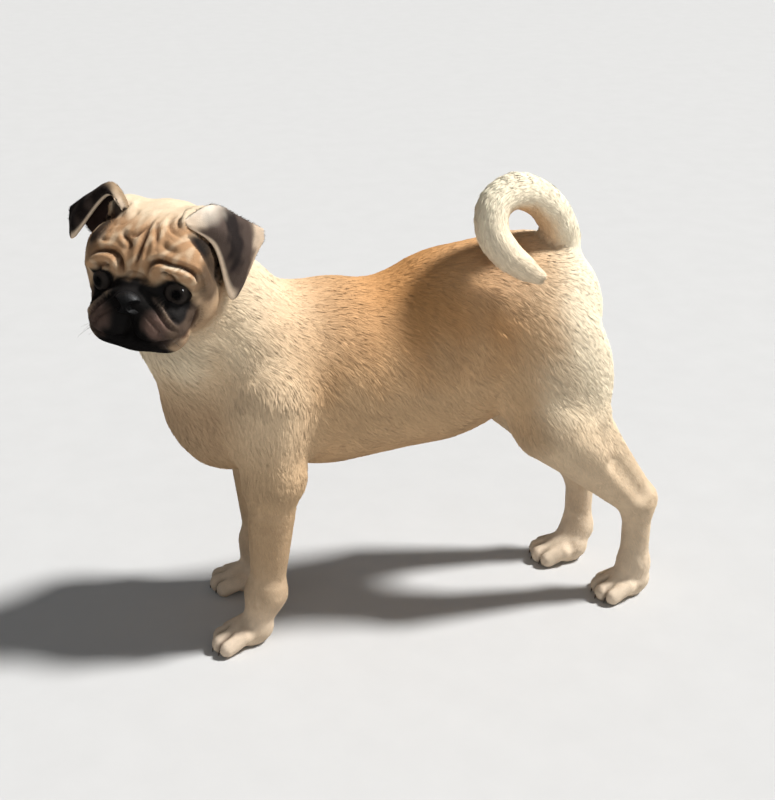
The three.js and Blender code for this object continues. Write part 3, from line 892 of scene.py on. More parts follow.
def coat_sizes(p, shares):
    h = in_head(p)
    sizes = np.zeros((len(p), 6))
    low_leg = 1 - smoothstep(p[:, 2], 88, 160)
    front_low = 1 - smoothstep(p[:, 2], 74, 155)
    muzzle = smoothstep(h[:, 0], 14, 30)

    def add(name, share):
        nonlocal sizes
        sizes = sizes + np.array(COAT[name]) * share[:, None]

    add("trunk", shares["trunk"])
    add("neck", shares["neck"])
    add("tail", shares["tail"])
    add("skull", shares["head"] * (1 - muzzle))
    add("muzzle", shares["head"] * muzzle)
    for name in SIDES:
        hind, fore = shares[f"hind_leg_{name}"], shares[f"front_leg_{name}"]
        add("thigh", hind * (1 - low_leg))
        add("leg", hind * low_leg)
        add("trunk", fore * (1 - front_low))
        add("leg", fore * front_low)
        add("paw", shares[f"front_paw_{name}"] + shares[f"hind_paw_{name}"])
    return sizes


# Which way the coat lies: back from the nose, down the neck and legs, along the tail
def lie_of(p, normals, shares):
    sideways = 1 - np.abs(normals[:, 2])
    ways = np.zeros_like(p)

    def add(way, share):
        nonlocal ways
        ways = ways + unit(np.broadcast_to(way, p.shape)) * share[:, None]

    trunk = np.stack([1 - 0.45 * sideways, 0 * sideways, -0.1 - 0.75 * sideways], 1)
    chest = smoothstep(-p[:, 0], 92, 128)
    add(trunk, shares["trunk"] * (1 - chest))
    add((0.25, 0, -1), shares["trunk"] * chest)
    add((0.72, 0.15, -0.62), shares["neck"])
    line = spline([row[:3] for row in TAIL], np.linspace(0, 1, 40))
    nearest = np.argmin(((p[:, None, :] - line[None, :-1]) ** 2).sum(2), axis=1)
    add(np.diff(line, axis=0)[nearest], shares["tail"])
    from_nose = unit(in_head(p) - np.array(TIP_OF_NOSE)) @ head_turn.T
    add(from_nose, shares["head"])
    for name in SIDES:
        add((0.12, 0, -1), shares[f"front_leg_{name}"])
        add((0.55, 0, -0.8), shares[f"hind_leg_{name}"])
        add((-0.9, 0, -0.35), shares[f"front_paw_{name}"] + shares[f"hind_paw_{name}"])
    return ways


def tangent(ways, normals):
    return unit(ways - (ways * normals).sum(1, keepdims=True) * normals)


def turned_in_skin(ways, normals, angles):
    across = np.cross(normals, ways)
    return ways * np.cos(angles)[:, None] + across * np.sin(angles)[:, None]


# Lids: the skin goes behind the eyeball inside the opening and lies on it as a thick rim
LID_AHEAD = (0.86, 0.45, 0.08)
OPENING = (7.7, 6.4)


def lidded(h, side):
    eye = np.array([EYE_AT[0], side * EYE_AT[1], EYE_AT[2]])
    ahead = np.array([LID_AHEAD[0], side * LID_AHEAD[1], LID_AHEAD[2]])
    ahead /= np.linalg.norm(ahead)
    across = np.cross((0, 0, 1), ahead)
    across /= np.linalg.norm(across)
    above = np.cross(ahead, across)
    off = h - eye
    far = np.linalg.norm(off, axis=1)
    way = off / np.maximum(far, 1e-6)[:, None]
    wide, high = way @ across * EYE_RADIUS, way @ above * EYE_RADIUS
    opening = np.hypot(wide / OPENING[0], (high + 0.05 * wide**2 / OPENING[0]) / OPENING[1])
    facing = way @ ahead > 0.2
    lid = EYE_RADIUS - 2.4 + 3.7 * smoothstep(opening, 0.97, 1.1)
    rim = np.exp(-(((opening - 1.22) / 0.09) ** 2))
    furrow = np.exp(-(((opening - 1.42) / 0.07) ** 2))
    lid += 0.5 * rim - 0.5 * furrow
    share = np.where(facing, 1 - smoothstep(opening, 1.3, 1.85), 0)
    share = share * (1 - smoothstep(far, 12.5, 16))
    return h + way * ((lid - far) * share)[:, None], share


def detailed_head(p, normals, share):
    chosen = share > 0.02
    h = in_head(p[chosen])
    n = normals[chosen] @ head_turn
    strength = share[chosen]
    above_eyes = [*FOREHEAD_CREASES, *BROW_CREASES, *LID_CREASES]
    creases = line_strength(h, [*above_eyes, *NOSE_CREASES, *EAR_CREASES])
    mouth = line_strength(h, MOUTH_LINES)
    rise = line_strength(h, [*BROW_ROLLS, *NOSE_ROLLS, *EAR_ROLLS])
    rise += shoulders_of(h, above_eyes)
    rise += 0.25 * waves(h, 9, 5) * smoothstep(h[:, 2], 8, 20)
    h = h + n * ((rise - creases - mouth) * strength)[:, None]
    for side in (1, -1):
        h, _ = lidded(h, side)
    p = p.copy()
    p[chosen] = on_head(h)
    groove = 1.6 * clefts_of(p)
    p = p - normals * (1.3 * clefts_of(p))[:, None]
    groove[chosen] = creases + mouth
    return p, groove


def skin_normals(piece):
    return unit(read_rows(piece.data.vertex_normals, "vector"))


def make_skin():
    skin = rough_skin()
    subdivide_where(skin, face_is_near)
    subdivide_where(skin, eye_is_near)
    subdivide_where(skin, toe_is_near)
    p = corners_of(skin)
    depth = coat_sizes(p, shares_of(p))[:, 4]
    p = settle(p, whole_dog, depth, 6)
    move_corners(skin, p)
    shares = shares_of(p)
    p, groove = detailed_head(p, skin_normals(skin), shares["head"])
    p[:, 2] = np.maximum(p[:, 2], 0)
    move_corners(skin, p)
    return skin, p, shares, groove


# Markings, and the painted shade and highlights laid in with them
COLOURS = {
    "fawn": "#cdab84",
    "apricot": "#c18a50",
    "cream": "#f5e8cc",
    "pale": "#ecd6b6",
    # The chest, underside and lower forelegs darker as painted shade, the underside partly in its own
    # colour; the hind legs and paws paler, partly as painted sunlight
    "chest": "#b99c7c",
    "belly_tone_and_shade": "#b8946f",
    "leg": "#dcc3a3",
    "foreleg_shade": "#bf9f7a",
    "toe": "#f6e4cd",
    "tail": "#fff3d8",
    "tan": "#b98f5f",
    "forehead": "#b8906a",
    "cheek": "#b89d7e",
    # The temple's colour is mostly painted shadow of the ear; the crease colour is painted shade in
    # creases and clefts; the mask's black is also painted shade under the ears and in creases
    "temple_shade": "#5a4837",
    "crease_shade": "#4a2c18",
    "mask": "#15110f",
    "shade": "#2a201b",
    "flew": "#43342c",
    "lip": "#755d52",
    # Paler grey of the cheek rolls, with painted highlight on their ridges
    "pale_roll_highlight": "#9a8675",
    "ear": "#231a17",
    "ear_pale": "#54463e",
    # Cream of the near ear's base, brightened as painted sunlight
    "lit_ear_base": "#fff0dc",
    "ear_inside": "#3d2a23",
    "rim": "#ecd4b8",
    "eye": "#14100e",
    "iris": "#39332f",
    "pupil": "#080606",
}


class Paint:
    """The colours of many places, with patches laid one over another."""

    def __init__(self, name, places):
        self.colours = np.tile(linear(COLOURS[name]), (len(places), 1))

    def lay(self, name, share):
        share = np.clip(share, 0, 1)[:, None]
        self.colours = self.colours + (linear(COLOURS[name]) - self.colours) * share


def body_colours(p, normals, shares):
    x, z = p[:, 0], p[:, 2]
    wander = waves(p, 38, 3)
    saddle = smoothstep(z + 9 * wander, 158, 222) * smoothstep(x, -104, -70)
    paint = Paint("fawn", p)
    paint.lay("pale", smoothstep(x + 10 * wander, 58, 112) * 0.85)
    # The hindquarters paler still: partly their own cream coat, partly painted sunlight
    paint.lay("cream", smoothstep(x + 8 * wander, 78, 124) * smoothstep(z, 120, 170) * 0.85)
    paint.lay("apricot", saddle * (1 - smoothstep(x, 46, 104)))
    paint.lay("pale", smoothstep(-x, 48, 84) * (1 - smoothstep(z, 180, 226)) * 0.6)
    paint.lay("cream", shares["neck"] * smoothstep(z + 8 * wander, 172, 208))
    # The chest darker: painted shade
    paint.lay("chest", smoothstep(-x, 92, 122) * (1 - smoothstep(z, 158, 196)))
    # Darker wherever the skin faces down: partly the belly's own colour, partly painted shade
    paint.lay("belly_tone_and_shade", smoothstep(-normals[:, 2], 0.35, 0.9) * shares["trunk"] * 0.9)
    # Lower hind legs and paws paler: partly their own colour, partly painted sunlight. Lower forelegs
    # darker: painted shade
    for name in SIDES:
        paint.lay("leg", shares[f"hind_leg_{name}"] * (1 - smoothstep(z, 96, 146)))
        paint.lay("foreleg_shade", shares[f"front_leg_{name}"] * (1 - smoothstep(z, 120, 170)))
        paint.lay("toe", shares[f"front_paw_{name}"] + shares[f"hind_paw_{name}"])
    inward = (unit(np.array(TAIL_MIDDLE) - p) * normals).sum(1)
    paint.lay("tail", shares["tail"])
    paint.lay("tan", shares["tail"] * smoothstep(inward, -0.1, 0.7) * 0.85)
    # Painted shade in the clefts between the toes
    paint.lay("crease_shade", clefts_of(p) * 0.75)
    return paint.colours


def mask_shape():
    around_eyes = both(lambda s: ball((28, s * 20.5, -2.5), (9.5, 11, 10.5)))
    below_eyes = both(lambda s: ball((31, s * 23, -9), (6, 6.5, 7)))
    bridge = ball((32, 0, 0.5), (7, 16, 5))
    on_muzzle = lambda h: -melt(2.4 - muzzle(h), 23 - np.abs(h[:, 1]), 6)
    return joined(2.5, [on_muzzle, bridge, *around_eyes, *below_eyes])


# How much each place belongs to a patch of the shape's size, with an uneven edge
def patch_of(shape, h, wander, low=-3, high=3):
    return 1 - smoothstep(shape(h) + wander, low, high)


# The crown's own colours, with painted shade by the ears, behind the far brow and in the creases
def lay_crown(paint, h, wander, groove):
    paint.lay("pale", 0.45 * smoothstep(waves(h, 8, 9), -0.1, 0.7))
    paint.lay("cream", 0.6 * smoothstep(h[:, 2], 30, 38))
    paint.lay("pale", 0.8 * (1 - smoothstep(h[:, 0], -22, 4)))
    paint.lay("cheek", (1 - smoothstep(h[:, 2], -4, 16)) * 0.85 * smoothstep(h[:, 0], -20, 0))
    paint.lay("shade", 0.7 * patch_of(ball((-3, 33, 16), (13, 9, 19)), h, wander))
    paint.lay("shade", 0.8 * patch_of(ball((0, -34, 14), (15, 10, 19)), h, wander))
    behind_brow = limb((6, -22.5, 36), (22, -27.5, 24), 4.5, 4.5)
    paint.lay("shade", 0.92 * patch_of(behind_brow, h, wander, -1.5, 2))
    paint.lay("shade", 0.5 * patch_of(ball((24, -28, 19), (8, 7, 8)), h, wander))
    # Painted shade in the creases of the forehead
    paint.lay("crease_shade", smoothstep(groove, 0.5, 2.0) * 0.85)


# Painted shade in the hollow under the front edge of each ear, laid in the black of the mask
def lay_shade_under_ears(paint, h, wander):
    paint.lay("mask", 0.95 * smoothstep(line_strength(h, EAR_CREASES), 0.35, 1.4))
    gap = [(12.8, 25, 29.6), (12.2, 31, 26), (10.8, 34.3, 21), (8.5, 36.3, 13.5), (4.5, 36.2, 5)]
    under_ear = path(gap, [2.2, 4, 3.8, 3.6, 3.4])
    paint.lay("mask", 0.95 * patch_of(under_ear, h, 0.5 * wander, -1, 1.2))


# Painted highlight along the top of the brow rolls: cream on the left brow, fainter pale on the right
def lay_brow_highlights(paint, h, wander):
    brow_highlight = smoothstep(line_strength(h, BROW_ROLLS), 1.1, 2.3)
    paint.lay("cream", brow_highlight * 0.85 * smoothstep(h[:, 1] + wander, 12, 22))
    paint.lay("pale", brow_highlight * 0.6 * smoothstep(-h[:, 1], 8, 20))


def lay_mask_and_temple_shade(paint, h, wander):
    for side in (1, -1):
        # The temple between eye and ear darker: partly its own darker fur, mostly painted shadow of the
        # ear
        temple_shade = ball((12, side * 38, 8), (13, 6.5, 17))
        paint.lay("temple_shade", 0.88 * patch_of(temple_shade, h, wander, -2.5, 2.5))
        paint.lay("flew", 0.9 * patch_of(ball((26, side * 25, -13), (10, 10, 12)), h, wander))
    paint.lay("mask", patch_of(mask_shape(), h, 0.9 * wander, -1.4, 2.0))
    for side, most in ((1, 1.0), (-1, 0.5)):
        paint.lay("flew", 0.8 * patch_of(ball((35, side * 22, -21), (9, 9, 7)), h, wander, -4, 3))
        paint.lay("lip", most * patch_of(ball((40, side * 16.5, -14.5), (8, 8, 8)), h, wander, -5, 2.5))


def head_colours(h, groove):
    wander = waves(h, 7, 8)
    paint = Paint("forehead", h)
    lay_crown(paint, h, wander, groove)
    lay_shade_under_ears(paint, h, wander)
    lay_brow_highlights(paint, h, wander)
    lay_mask_and_temple_shade(paint, h, wander)
    # Paler along the ridges of the cheek rolls: partly their greyer fur, partly painted highlight
    paint.lay("pale_roll_highlight", 0.75 * smoothstep(line_strength(h, CHEEK_ROLLS), 0.5, 1.5))
    # Dark along the mouth line, the lips' own black, and along the roll edges and lid creases as painted
    # shade
    lines = line_strength(h, [*MOUTH_LINES, *ROLL_EDGES, *LID_CREASES])
    paint.lay("mask", smoothstep(lines, 0.5, 1.8))
    # Painted shade in the cheek and lip folds
    paint.lay("crease_shade", 0.95 * smoothstep(line_strength(h, [*CHEEK_FOLDS, *LIP_FOLDS]), 0.35, 1.3))
    return paint.colours


def skin_colours(p, normals, shares, groove):
    h = in_head(p)
    share = smoothstep(shares["head"], 0.1, 0.9)[:, None]
    body = body_colours(p, normals, shares_of(p, 16))
    paint = Paint("fawn", p)
    paint.colours = body * (1 - share) + head_colours(h, groove) * share
    # Painted shade along the cheek folds, laid over the head and the neck alike
    folds = line_strength(h, CHEEK_FOLDS) * (shares["head"] > 0.02)
    paint.lay("crease_shade", 0.9 * smoothstep(folds, 0.3, 1.2))
    return paint.colours


# Ears: rows from the root, over the fold, to the free edge; each row runs from front to back
EARS = {
    "left": [
        [(6, 13.5, 29.5), (-6, 24, 28), (-16, 30, 18), (-20, 33, 0)],
        [(8, 16.5, 33), (-5, 28, 38), (-16, 38, 28), (-22, 46, 8)],
        [(9, 18.5, 34.5), (-4, 30, 41.5), (-13, 40, 34.5), (-23, 51, 25.5)],
        [(10, 20.5, 33.5), (2, 38, 31), (-9, 45.5, 15), (-24, 52, 20)],
        [(10, 21, 32.8), (6.5, 34, 23.5), (-7, 41, -12.5), (-23, 49.5, 15)],
    ],
    "right": [
        [(6, -12, 28), (-6, -24, 28), (-16, -31, 18), (-18, -34, -2)],
        [(7, -13.5, 33.5), (-6, -27, 41), (-17, -42, 27), (-20, -51, 8)],
        [(6, -16, 35.8), (-5, -30, 44.5), (-13, -46, 35), (-22, -65.5, 20.5)],
        [(6.5, -18, 35.6), (-1, -32.5, 42.5), (-8, -53, 25), (-22, -66.5, 15)],
        [(7, -18.5, 34.5), (2, -27.5, 40.5), (-13, -61, 5), (-21, -66, 11)],
    ],
}
EAR_ACROSS, EAR_ALONG = 40, 46
EAR_THICKNESS = 1.5


def ear_grid(rows):
    across = np.linspace(0, 1, EAR_ACROSS + 1)
    lines = [spline(row, across) for row in rows]
    columns = np.stack(lines, axis=1)
    along = np.linspace(0, 1, EAR_ALONG + 1)
    return np.stack([spline(column, along) for column in columns])


# A grid bent into the ear's sheet, then thickened; it keeps how far each corner is along and across
def make_ear(name, rows):
    bpy.ops.mesh.primitive_grid_add(x_subdivisions=EAR_ACROSS, y_subdivisions=EAR_ALONG, size=1)
    ear = bpy.context.object
    ear.name = f"ear_{name}_skin"
    plan = read_rows(ear.data.vertices, "co")[:, :2] + 0.5
    grid = ear_grid(rows)
    i = np.rint(plan[:, 0] * EAR_ACROSS).astype(int)
    j = np.rint(plan[:, 1] * EAR_ALONG).astype(int)
    move_corners(ear, on_head(grid[i, j]))
    kept = ear.data.attributes.new("plan", "FLOAT_VECTOR", "POINT")
    kept.data.foreach_set("vector", np.pad(plan, ((0, 0), (0, 1))).astype(np.float32).ravel())
    apply_modifier(ear, "SOLIDIFY", thickness=EAR_THICKNESS / 1000, offset=0.0)
    apply_modifier(ear, "SUBSURF", levels=1, render_levels=1)
    return ear


def ear_colours(places, normals, plan, name):
    across, along = plan[:, 0], plan[:, 1]
    h = in_head(places)
    middle = np.array([-8, 26 if name == "left" else -26, 18])
    outside = (((h - middle) * (normals @ head_turn)).sum(1) > 0) * 1.0
    wander = waves(h, 7, 12)
    paint = Paint("ear", h)
    paint.lay("ear_inside", 0.7 * (1 - outside))
    # Paler patches on the outside of the ear; on the left ear everywhere but a dark middle
    paler = 0.5 * smoothstep(waves(h, 16, 13), -0.2, 0.8)
    if name == "left":
        from_spot = np.hypot((across - 0.53) / 0.17, (along - 0.68) / 0.22)
        paler = smoothstep(from_spot + 0.2 * wander, 0.6, 1.2)
    paint.lay("ear_pale", outside * paler)
    # The base of the ear paler: on the left ear a cream brightened as painted sunlight, on the right the
    # cheek colour
    base = 1 - smoothstep(along + 0.02 * wander + 0.75 * across, 0.7, 0.98)
    paint.lay("lit_ear_base" if name == "left" else "cheek", 0.97 * base * outside)
    band = (1 - smoothstep(across + 0.03 * wander, 0.06, 0.24)) * smoothstep(along, 0.45, 0.6)
    paint.lay("rim", 0.85 * band * outside)
    rim = smoothstep(along, 0.92, 0.97) * (1 - smoothstep(across, 0.62, 0.74))
    if name == "left":
        rim = rim + smoothstep(across + 0.03 * wander, 0.78, 0.92) * smoothstep(along, 0.3, 0.5)
    paint.lay("rim", np.clip(rim, 0, 1) * 0.9)
    return paint.colours


# Coat: tufts with their roots in the skin, the long ones pointed at both ends
UV_PATCH = 0.003
LONG_TUFT = np.array([(3, 1, 0), (2, 3, 0), (1, 2, 0), (1, 3, 4), (3, 2, 4), (2, 1, 4)])
SHORT_TUFT = np.array([(0, 2, 3), (2, 1, 3), (1, 0, 3), (0, 1, 2)])
MOST_TRIANGLES = 196000


def triangles_of(piece):
    piece.data.calc_loop_triangles()
    flat = np.empty(len(piece.data.loop_triangles) * 3, np.int32)
    piece.data.loop_triangles.foreach_get("vertices", flat)
    return flat.reshape(-1, 3)


def scatter(rng, p, triangles, density, thinned):
    a, b, c = (p[triangles[:, i]] for i in range(3))
    area = np.linalg.norm(np.cross(b - a, c - a), axis=1) / 2
    wanted = area * density[triangles].mean(axis=1) * thinned
    count = rng.poisson(wanted)
    chosen = np.repeat(np.arange(len(triangles)), count)
    r1, r2 = np.sqrt(rng.random(len(chosen))), rng.random(len(chosen))
    mixes = np.stack([1 - r1, r1 * (1 - r2), r1 * r2], axis=1)
    return triangles[chosen], mixes


def read_at(values, corners, mixes):
    if values.ndim == 1:
        return (values[corners] * mixes).sum(1)
    return (values[corners] * mixes[:, :, None]).sum(1)


def tuft_blades(roots, normals, ways, length, width, lift, long_ones):
    right = np.cross(ways, normals)
    rise = np.sin(lift)[:, None] * normals
    run = np.cos(lift)[:, None] * ways
    size, half = length[:, None], width[:, None] / 2
    sunk = roots - normals * 0.3
    middle = roots + size * 0.4 * (run + rise * 0.8) if long_ones else sunk
    tip = roots + size * (run + rise * 0.5)
    rows = [middle - right * half, middle + right * half, middle + normals * half * 0.65, tip]
    if long_ones:
        rows.insert(0, sunk)
    return np.stack(rows, axis=1)


# Each tuft shades as the skin under it does, a little round across and each at its own slant
def tuft_normals(rng, normals, ways, long_ones):
    right = np.cross(ways, normals)
    slant = normals + rng.normal(0, 0.13, normals.shape)
    rows = [slant - 0.35 * right, slant + 0.35 * right, slant, slant + 0.1 * ways]
    if long_ones:
        rows.insert(0, slant - 0.1 * ways)
    return np.stack([unit(row) for row in rows], axis=1)


# The tufts of one coat, in meshes of a set size, from the head to the rump
def coat_meshes(name, blades, paint, slants, spots, order, long_ones):
    shape = LONG_TUFT if long_ones else SHORT_TUFT
    across = np.array([0.5, 0, 1, 0.5, 0.5] if long_ones else [0, 1, 0.5, 0.5])
    along = np.array([0, 0.4, 0.4, 0.4, 1] if long_ones else [0, 0, 0, 1])
    patch = np.stack([across, along], 1) * UV_PATCH - UV_PATCH / 2
    most, corner_count = MOST_TRIANGLES // len(shape), len(patch)
    for part, start in enumerate(range(0, len(order), most)):
        chosen = order[start : start + most]
        faces = (shape[None] + corner_count * np.arange(len(chosen))[:, None, None]).reshape(-1, 3)
        coat = mesh_piece(f"{name}_{part + 1}", blades[chosen].reshape(-1, 3), faces)
        paint_corners(coat, "Coat", np.clip(paint[chosen].reshape(-1, 3), 0, 1))
        uv = (spots[chosen][:, None, :] + patch[None]).reshape(-1, 2)
        layer = coat.data.uv_layers.new(name="OFBake")
        layer.data.foreach_set("uv", uv[faces.ravel()].astype(np.float32).ravel())
        yield coat, slants[chosen].reshape(-1, 3)


# skin: its mesh, its corners' places and normals, which way the coat lies there, sizes and colours
def coat_pieces(name, skin, sheet, rng, material, long_ones=True):
    piece, p, normals, ways, sizes, colours = skin
    corners, mixes = scatter(rng, p, triangles_of(piece), sizes[:, 3], 1.0)
    roots = read_at(p, corners, mixes)
    normal = unit(read_at(normals, corners, mixes))
    lie = unit(read_at(ways, corners, mixes))
    way = tangent(lie, normal)
    along_skin = (lie * way).sum(1)
    size = read_at(sizes, corners, mixes)
    colour = read_at(colours, corners, mixes)
    count = len(roots)
    drift = 0.24 * waves(roots, 17, 21) + 0.14 * waves(roots, 6, 22) + rng.normal(0, 0.08, count)
    way = turned_in_skin(way, normal, drift)
    stand = streaks(roots, way, 4.5, 9, 23) * size[:, 5]
    length = size[:, 0] * rng.uniform(0.75, 1.2, count) * (1 + 0.15 * stand) * (0.3 + 0.7 * along_skin)
    width = size[:, 1] * rng.uniform(0.7, 1.3, count)
    lift = np.radians(size[:, 2] * (1 + 0.5 * stand) * rng.uniform(0.7, 1.3, count))
    blades = tuft_blades(roots, normal, way, length, width, lift, long_ones)
    blades[:, :, 2] = np.maximum(blades[:, :, 2], 0.1)
    slants = tuft_normals(rng, normal, way, long_ones)
    tint = 1 + 0.04 * rng.normal(0, 1, count) + 0.08 * stand + 0.04 * waves(roots, 26, 24)
    # Each tuft darker at its root and lighter at its tip: painted shade and light along the hair
    shades = np.array([0.86, 0.96, 0.96, 1, 1.06] if long_ones else [0.92, 0.92, 0.96, 1.05])
    paint = colour[:, None, :] * np.clip(tint, 0.6, 1.4)[:, None, None] * shades[None, :, None]
    order = np.argsort(roots[:, 0], kind="stable")
    for coat, slant in coat_meshes(name, blades, paint, slants, sheet(roots), order, long_ones):
        finish_piece(coat, material)
        coat.data.normals_split_custom_set_from_vertices(slant)


# The sheet that the skin is unwrapped on: each part is opened along its own length
CHARTS = {
    "trunk": ((0.0, 0.0, 0.62, 0.5), (-140, 0, 160), (135, 0, 195)),
    "neck": ((0.0, 0.51, 0.62, 0.14), (-90, 0, 178), (-130, -16, 235)),
    "head": ((0.0, 0.66, 0.62, 0.33), (-160, -22, 249), (-122, -66, 246)),
    "front_leg_left": ((0.63, 0.0, 0.17, 0.28), (-84, -33, 20), (-84, -33, 150)),
    "front_leg_right": ((0.82, 0.0, 0.17, 0.28), (-86, 33, 20), (-86, 33, 150)),
    "hind_leg_left": ((0.63, 0.3, 0.17, 0.3), (156, -31, 20), (94, -30, 200)),
    "hind_leg_right": ((0.82, 0.3, 0.17, 0.3), (137, 28, 20), (90, 30, 200)),
    "front_paw_left": ((0.63, 0.62, 0.08, 0.06), (-125, -33, 8), (-92, -33, 8)),
    "front_paw_right": ((0.72, 0.62, 0.08, 0.06), (-118, 33, 8), (-85, 33, 8)),
    "hind_paw_left": ((0.81, 0.62, 0.08, 0.06), (128, -31, 8), (162, -31, 8)),
    "hind_paw_right": ((0.9, 0.62, 0.08, 0.06), (104, 22, 8), (142, 22, 8)),
    "tail": ((0.63, 0.7, 0.36, 0.12), (110, -3, 250), (45, -36, 250)),
}
EAR_CHARTS = {"left": (0.63, 0.84, 0.17, 0.15), "right": (0.82, 0.84, 0.17, 0.15)}


def opened(p, box, start, end):
    start, end = np.array(start, float), np.array(end, float)
    axis = (end - start) / np.linalg.norm(end - start)
    side = np.cross(axis, (0.1, 0.2, 1) if abs(axis[2]) < 0.8 else (1, 0, 0))
    side /= np.linalg.norm(side)
    off = p - start
    angle = np.arctan2(off @ np.cross(axis, side), off @ side) / (2 * math.pi) + 0.5
    along = np.clip(off @ axis / np.linalg.norm(end - start), -0.15, 1.15)
    left, low, wide, high = box
    return np.stack([left + wide * angle, low + high * (0.1 + 0.8 * along)], axis=1)


def body_sheet(p):
    near = np.stack([PARTS[name](p) for name in CHARTS], axis=1).argmin(axis=1)
    spots = np.zeros((len(p), 2))
    for i, chart in enumerate(CHARTS.values()):
        spots[near == i] = opened(p[near == i], *chart)
    return np.clip(spots, UV_PATCH, 1 - UV_PATCH)


def ear_sheet(name):
    box = EAR_CHARTS[name]
    middle = on_head((-10, 32 if name == "left" else -36, 24))
    end = on_head((-10, 52 if name == "left" else -62, 4))
    return lambda p: np.clip(opened(p, box, middle, end), UV_PATCH, 1 - UV_PATCH)


# Finishes
def coat_finish():
    finish = Finish("Short coat")
    grain = finish.noise(1500, 2.0)
    tone = finish.noise(160, 4.0)
    shade = finish.mixed(0.5 * tone - 0.12, finish.painted("Coat"), (0.16, 0.09, 0.04, 1), "MULTIPLY")
    return finish.surface(
        **{
            "Base Color": shade,
            "Roughness": 0.9 - 0.1 * grain,
            "Specular IOR Level": 0.25,
            "Normal": finish.bump(grain + 0.8 * finish.noise(420, 3.0), 0.45, 0.0006),
        }
    )


def tuft_finish():
    finish = Finish("Hair of the coat")
    strand = finish.noise(900, 2.0)
    colour = finish.mixed(0.3 * strand, finish.painted("Coat"), (0.8, 0.72, 0.62, 1), "MULTIPLY")
    return finish.surface(
        **{
            "Base Color": colour,
            "Roughness": 0.85 - 0.12 * strand,
            "Specular IOR Level": 0.1,
        }
    )


def nose_finish():
    finish = Finish("Nose leather")
    pebbles = finish.node(
        "ShaderNodeTexVoronoi", {"feature": "F1"}, {"Vector": finish.place(), "Scale": 1500.0}
    )
    tone = finish.mixed(finish.noise(300), (0.004, 0.004, 0.004, 1), (0.014, 0.013, 0.013, 1))
    return finish.surface(
        **{
            "Base Color": tone,
            "Roughness": 0.4 + 0.2 * finish.noise(500),
            "Specular IOR Level": 0.25,
            "Coat Weight": 0.08,
            "Coat Roughness": 0.3,
            "Normal": finish.bump(pebbles, 0.5, 0.0004),
        }
    )


def eye_finish():
    finish = Finish("Eye")
    return finish.surface(
        **{
            "Base Color": finish.painted("Iris"),
            "Roughness": 0.35 + 0.1 * finish.noise(600),
            "Coat Weight": 0.6,
            "Coat Roughness": 0.02,
            "Specular IOR Level": 0.05,
        }
    )


def horn_finish():
    finish = Finish("Claw horn")
    tone = finish.mixed(finish.noise(700), (0.05, 0.035, 0.028, 1), (0.16, 0.12, 0.09, 1))
    return finish.surface(**{"Base Color": tone, "Roughness": 0.35 + 0.2 * finish.noise(900)})


def whisker_finish():
    finish = Finish("Whisker")
    tone = finish.mixed(finish.noise(200), (0.01, 0.008, 0.007, 1), (0.05, 0.04, 0.03, 1))
    return finish.surface(**{"Base Color": tone, "Roughness": 0.5})


def floor_finish():
    finish = Finish("Studio floor")
    tone = finish.mixed(finish.noise(30), (0.5, 0.495, 0.485, 1), (0.54, 0.535, 0.525, 1))
    return finish.surface(**{"Base Color": tone, "Roughness": 0.9})


# Eyes, nose, claws and whiskers
def add_sphere(name, segments, rings):
    deselect()
    bpy.ops.mesh.primitive_uv_sphere_add(segments=segments, ring_count=rings, radius=1)
    sphere = bpy.context.object
    sphere.name = name
    return sphere, unit(read_rows(sphere.data.vertices, "co"))


def make_eye(name, side, material):
    eye, ways = add_sphere(f"eyeball_{name}", 48, 32)
    eye_at = (EYE_AT[0], side * EYE_AT[1], EYE_AT[2])
    gaze = unit(np.array([[0.93, side * 0.33, 0.05]]))[0]
    off = np.degrees(np.arccos(np.clip(ways @ gaze, -1, 1)))
    far = EYE_RADIUS + 0.45 * (1 - smoothstep(off, 20, 44))
    move_corners(eye, on_head(np.array(eye_at) + ways * far[:, None]))
    paint = Paint("eye", ways)
    paint.lay("iris", smoothstep(off, 14, 25) * (1 - smoothstep(off, 36, 45)))
    paint.lay("pupil", 1 - smoothstep(off, 13, 20))
    paint_corners(eye, "Iris", paint.colours)
    finish_piece(eye, material, [f"eye_{name}"])


def make_nose(material):
    nose, ways = add_sphere("nose_leather", 72, 48)
    nostrils = both(lambda s: ball((44, s * 4.7, -4.8), (5.6, 3.2, 3.1)))
    slits = both(lambda s: limb((43.6, s * 5.8, -6), (40, s * 9, -8), 1.3, 0.8))
    groove = limb((45, 0, -5), (43, 0, -11), 0.7, 0.8)
    shape = carved(0.9, nose_shape, [*nostrils, *slits, groove])
    origin = np.array(NOSE_AT, float)
    places = origin + ways * reach(shape, origin, ways, 20)[:, None]
    move_corners(nose, on_head(places))
    finish_piece(nose, material, ["nose"])


def make_claws(material):
    claws = []
    for name, side in SIDES.items():
        leg = LEGS[name]
        for end in ("front", "hind"):
            at = on_paw(leg[f"{end}_paw"], leg[f"{end}_turn"], side)
            for far, aside, radius in TOES:
                start = np.array(at(far + 1.5, aside, radius - 0.5))
                claws.append(make_claw(start, np.array(at(far + 5.2, aside, 1.4))))
    deselect()
    for claw in claws:
        claw.select_set(True)
    bpy.context.view_layer.objects.active = claws[0]
    bpy.ops.object.join()
    claws[0].name = "claws"
    finish_piece(claws[0], material)


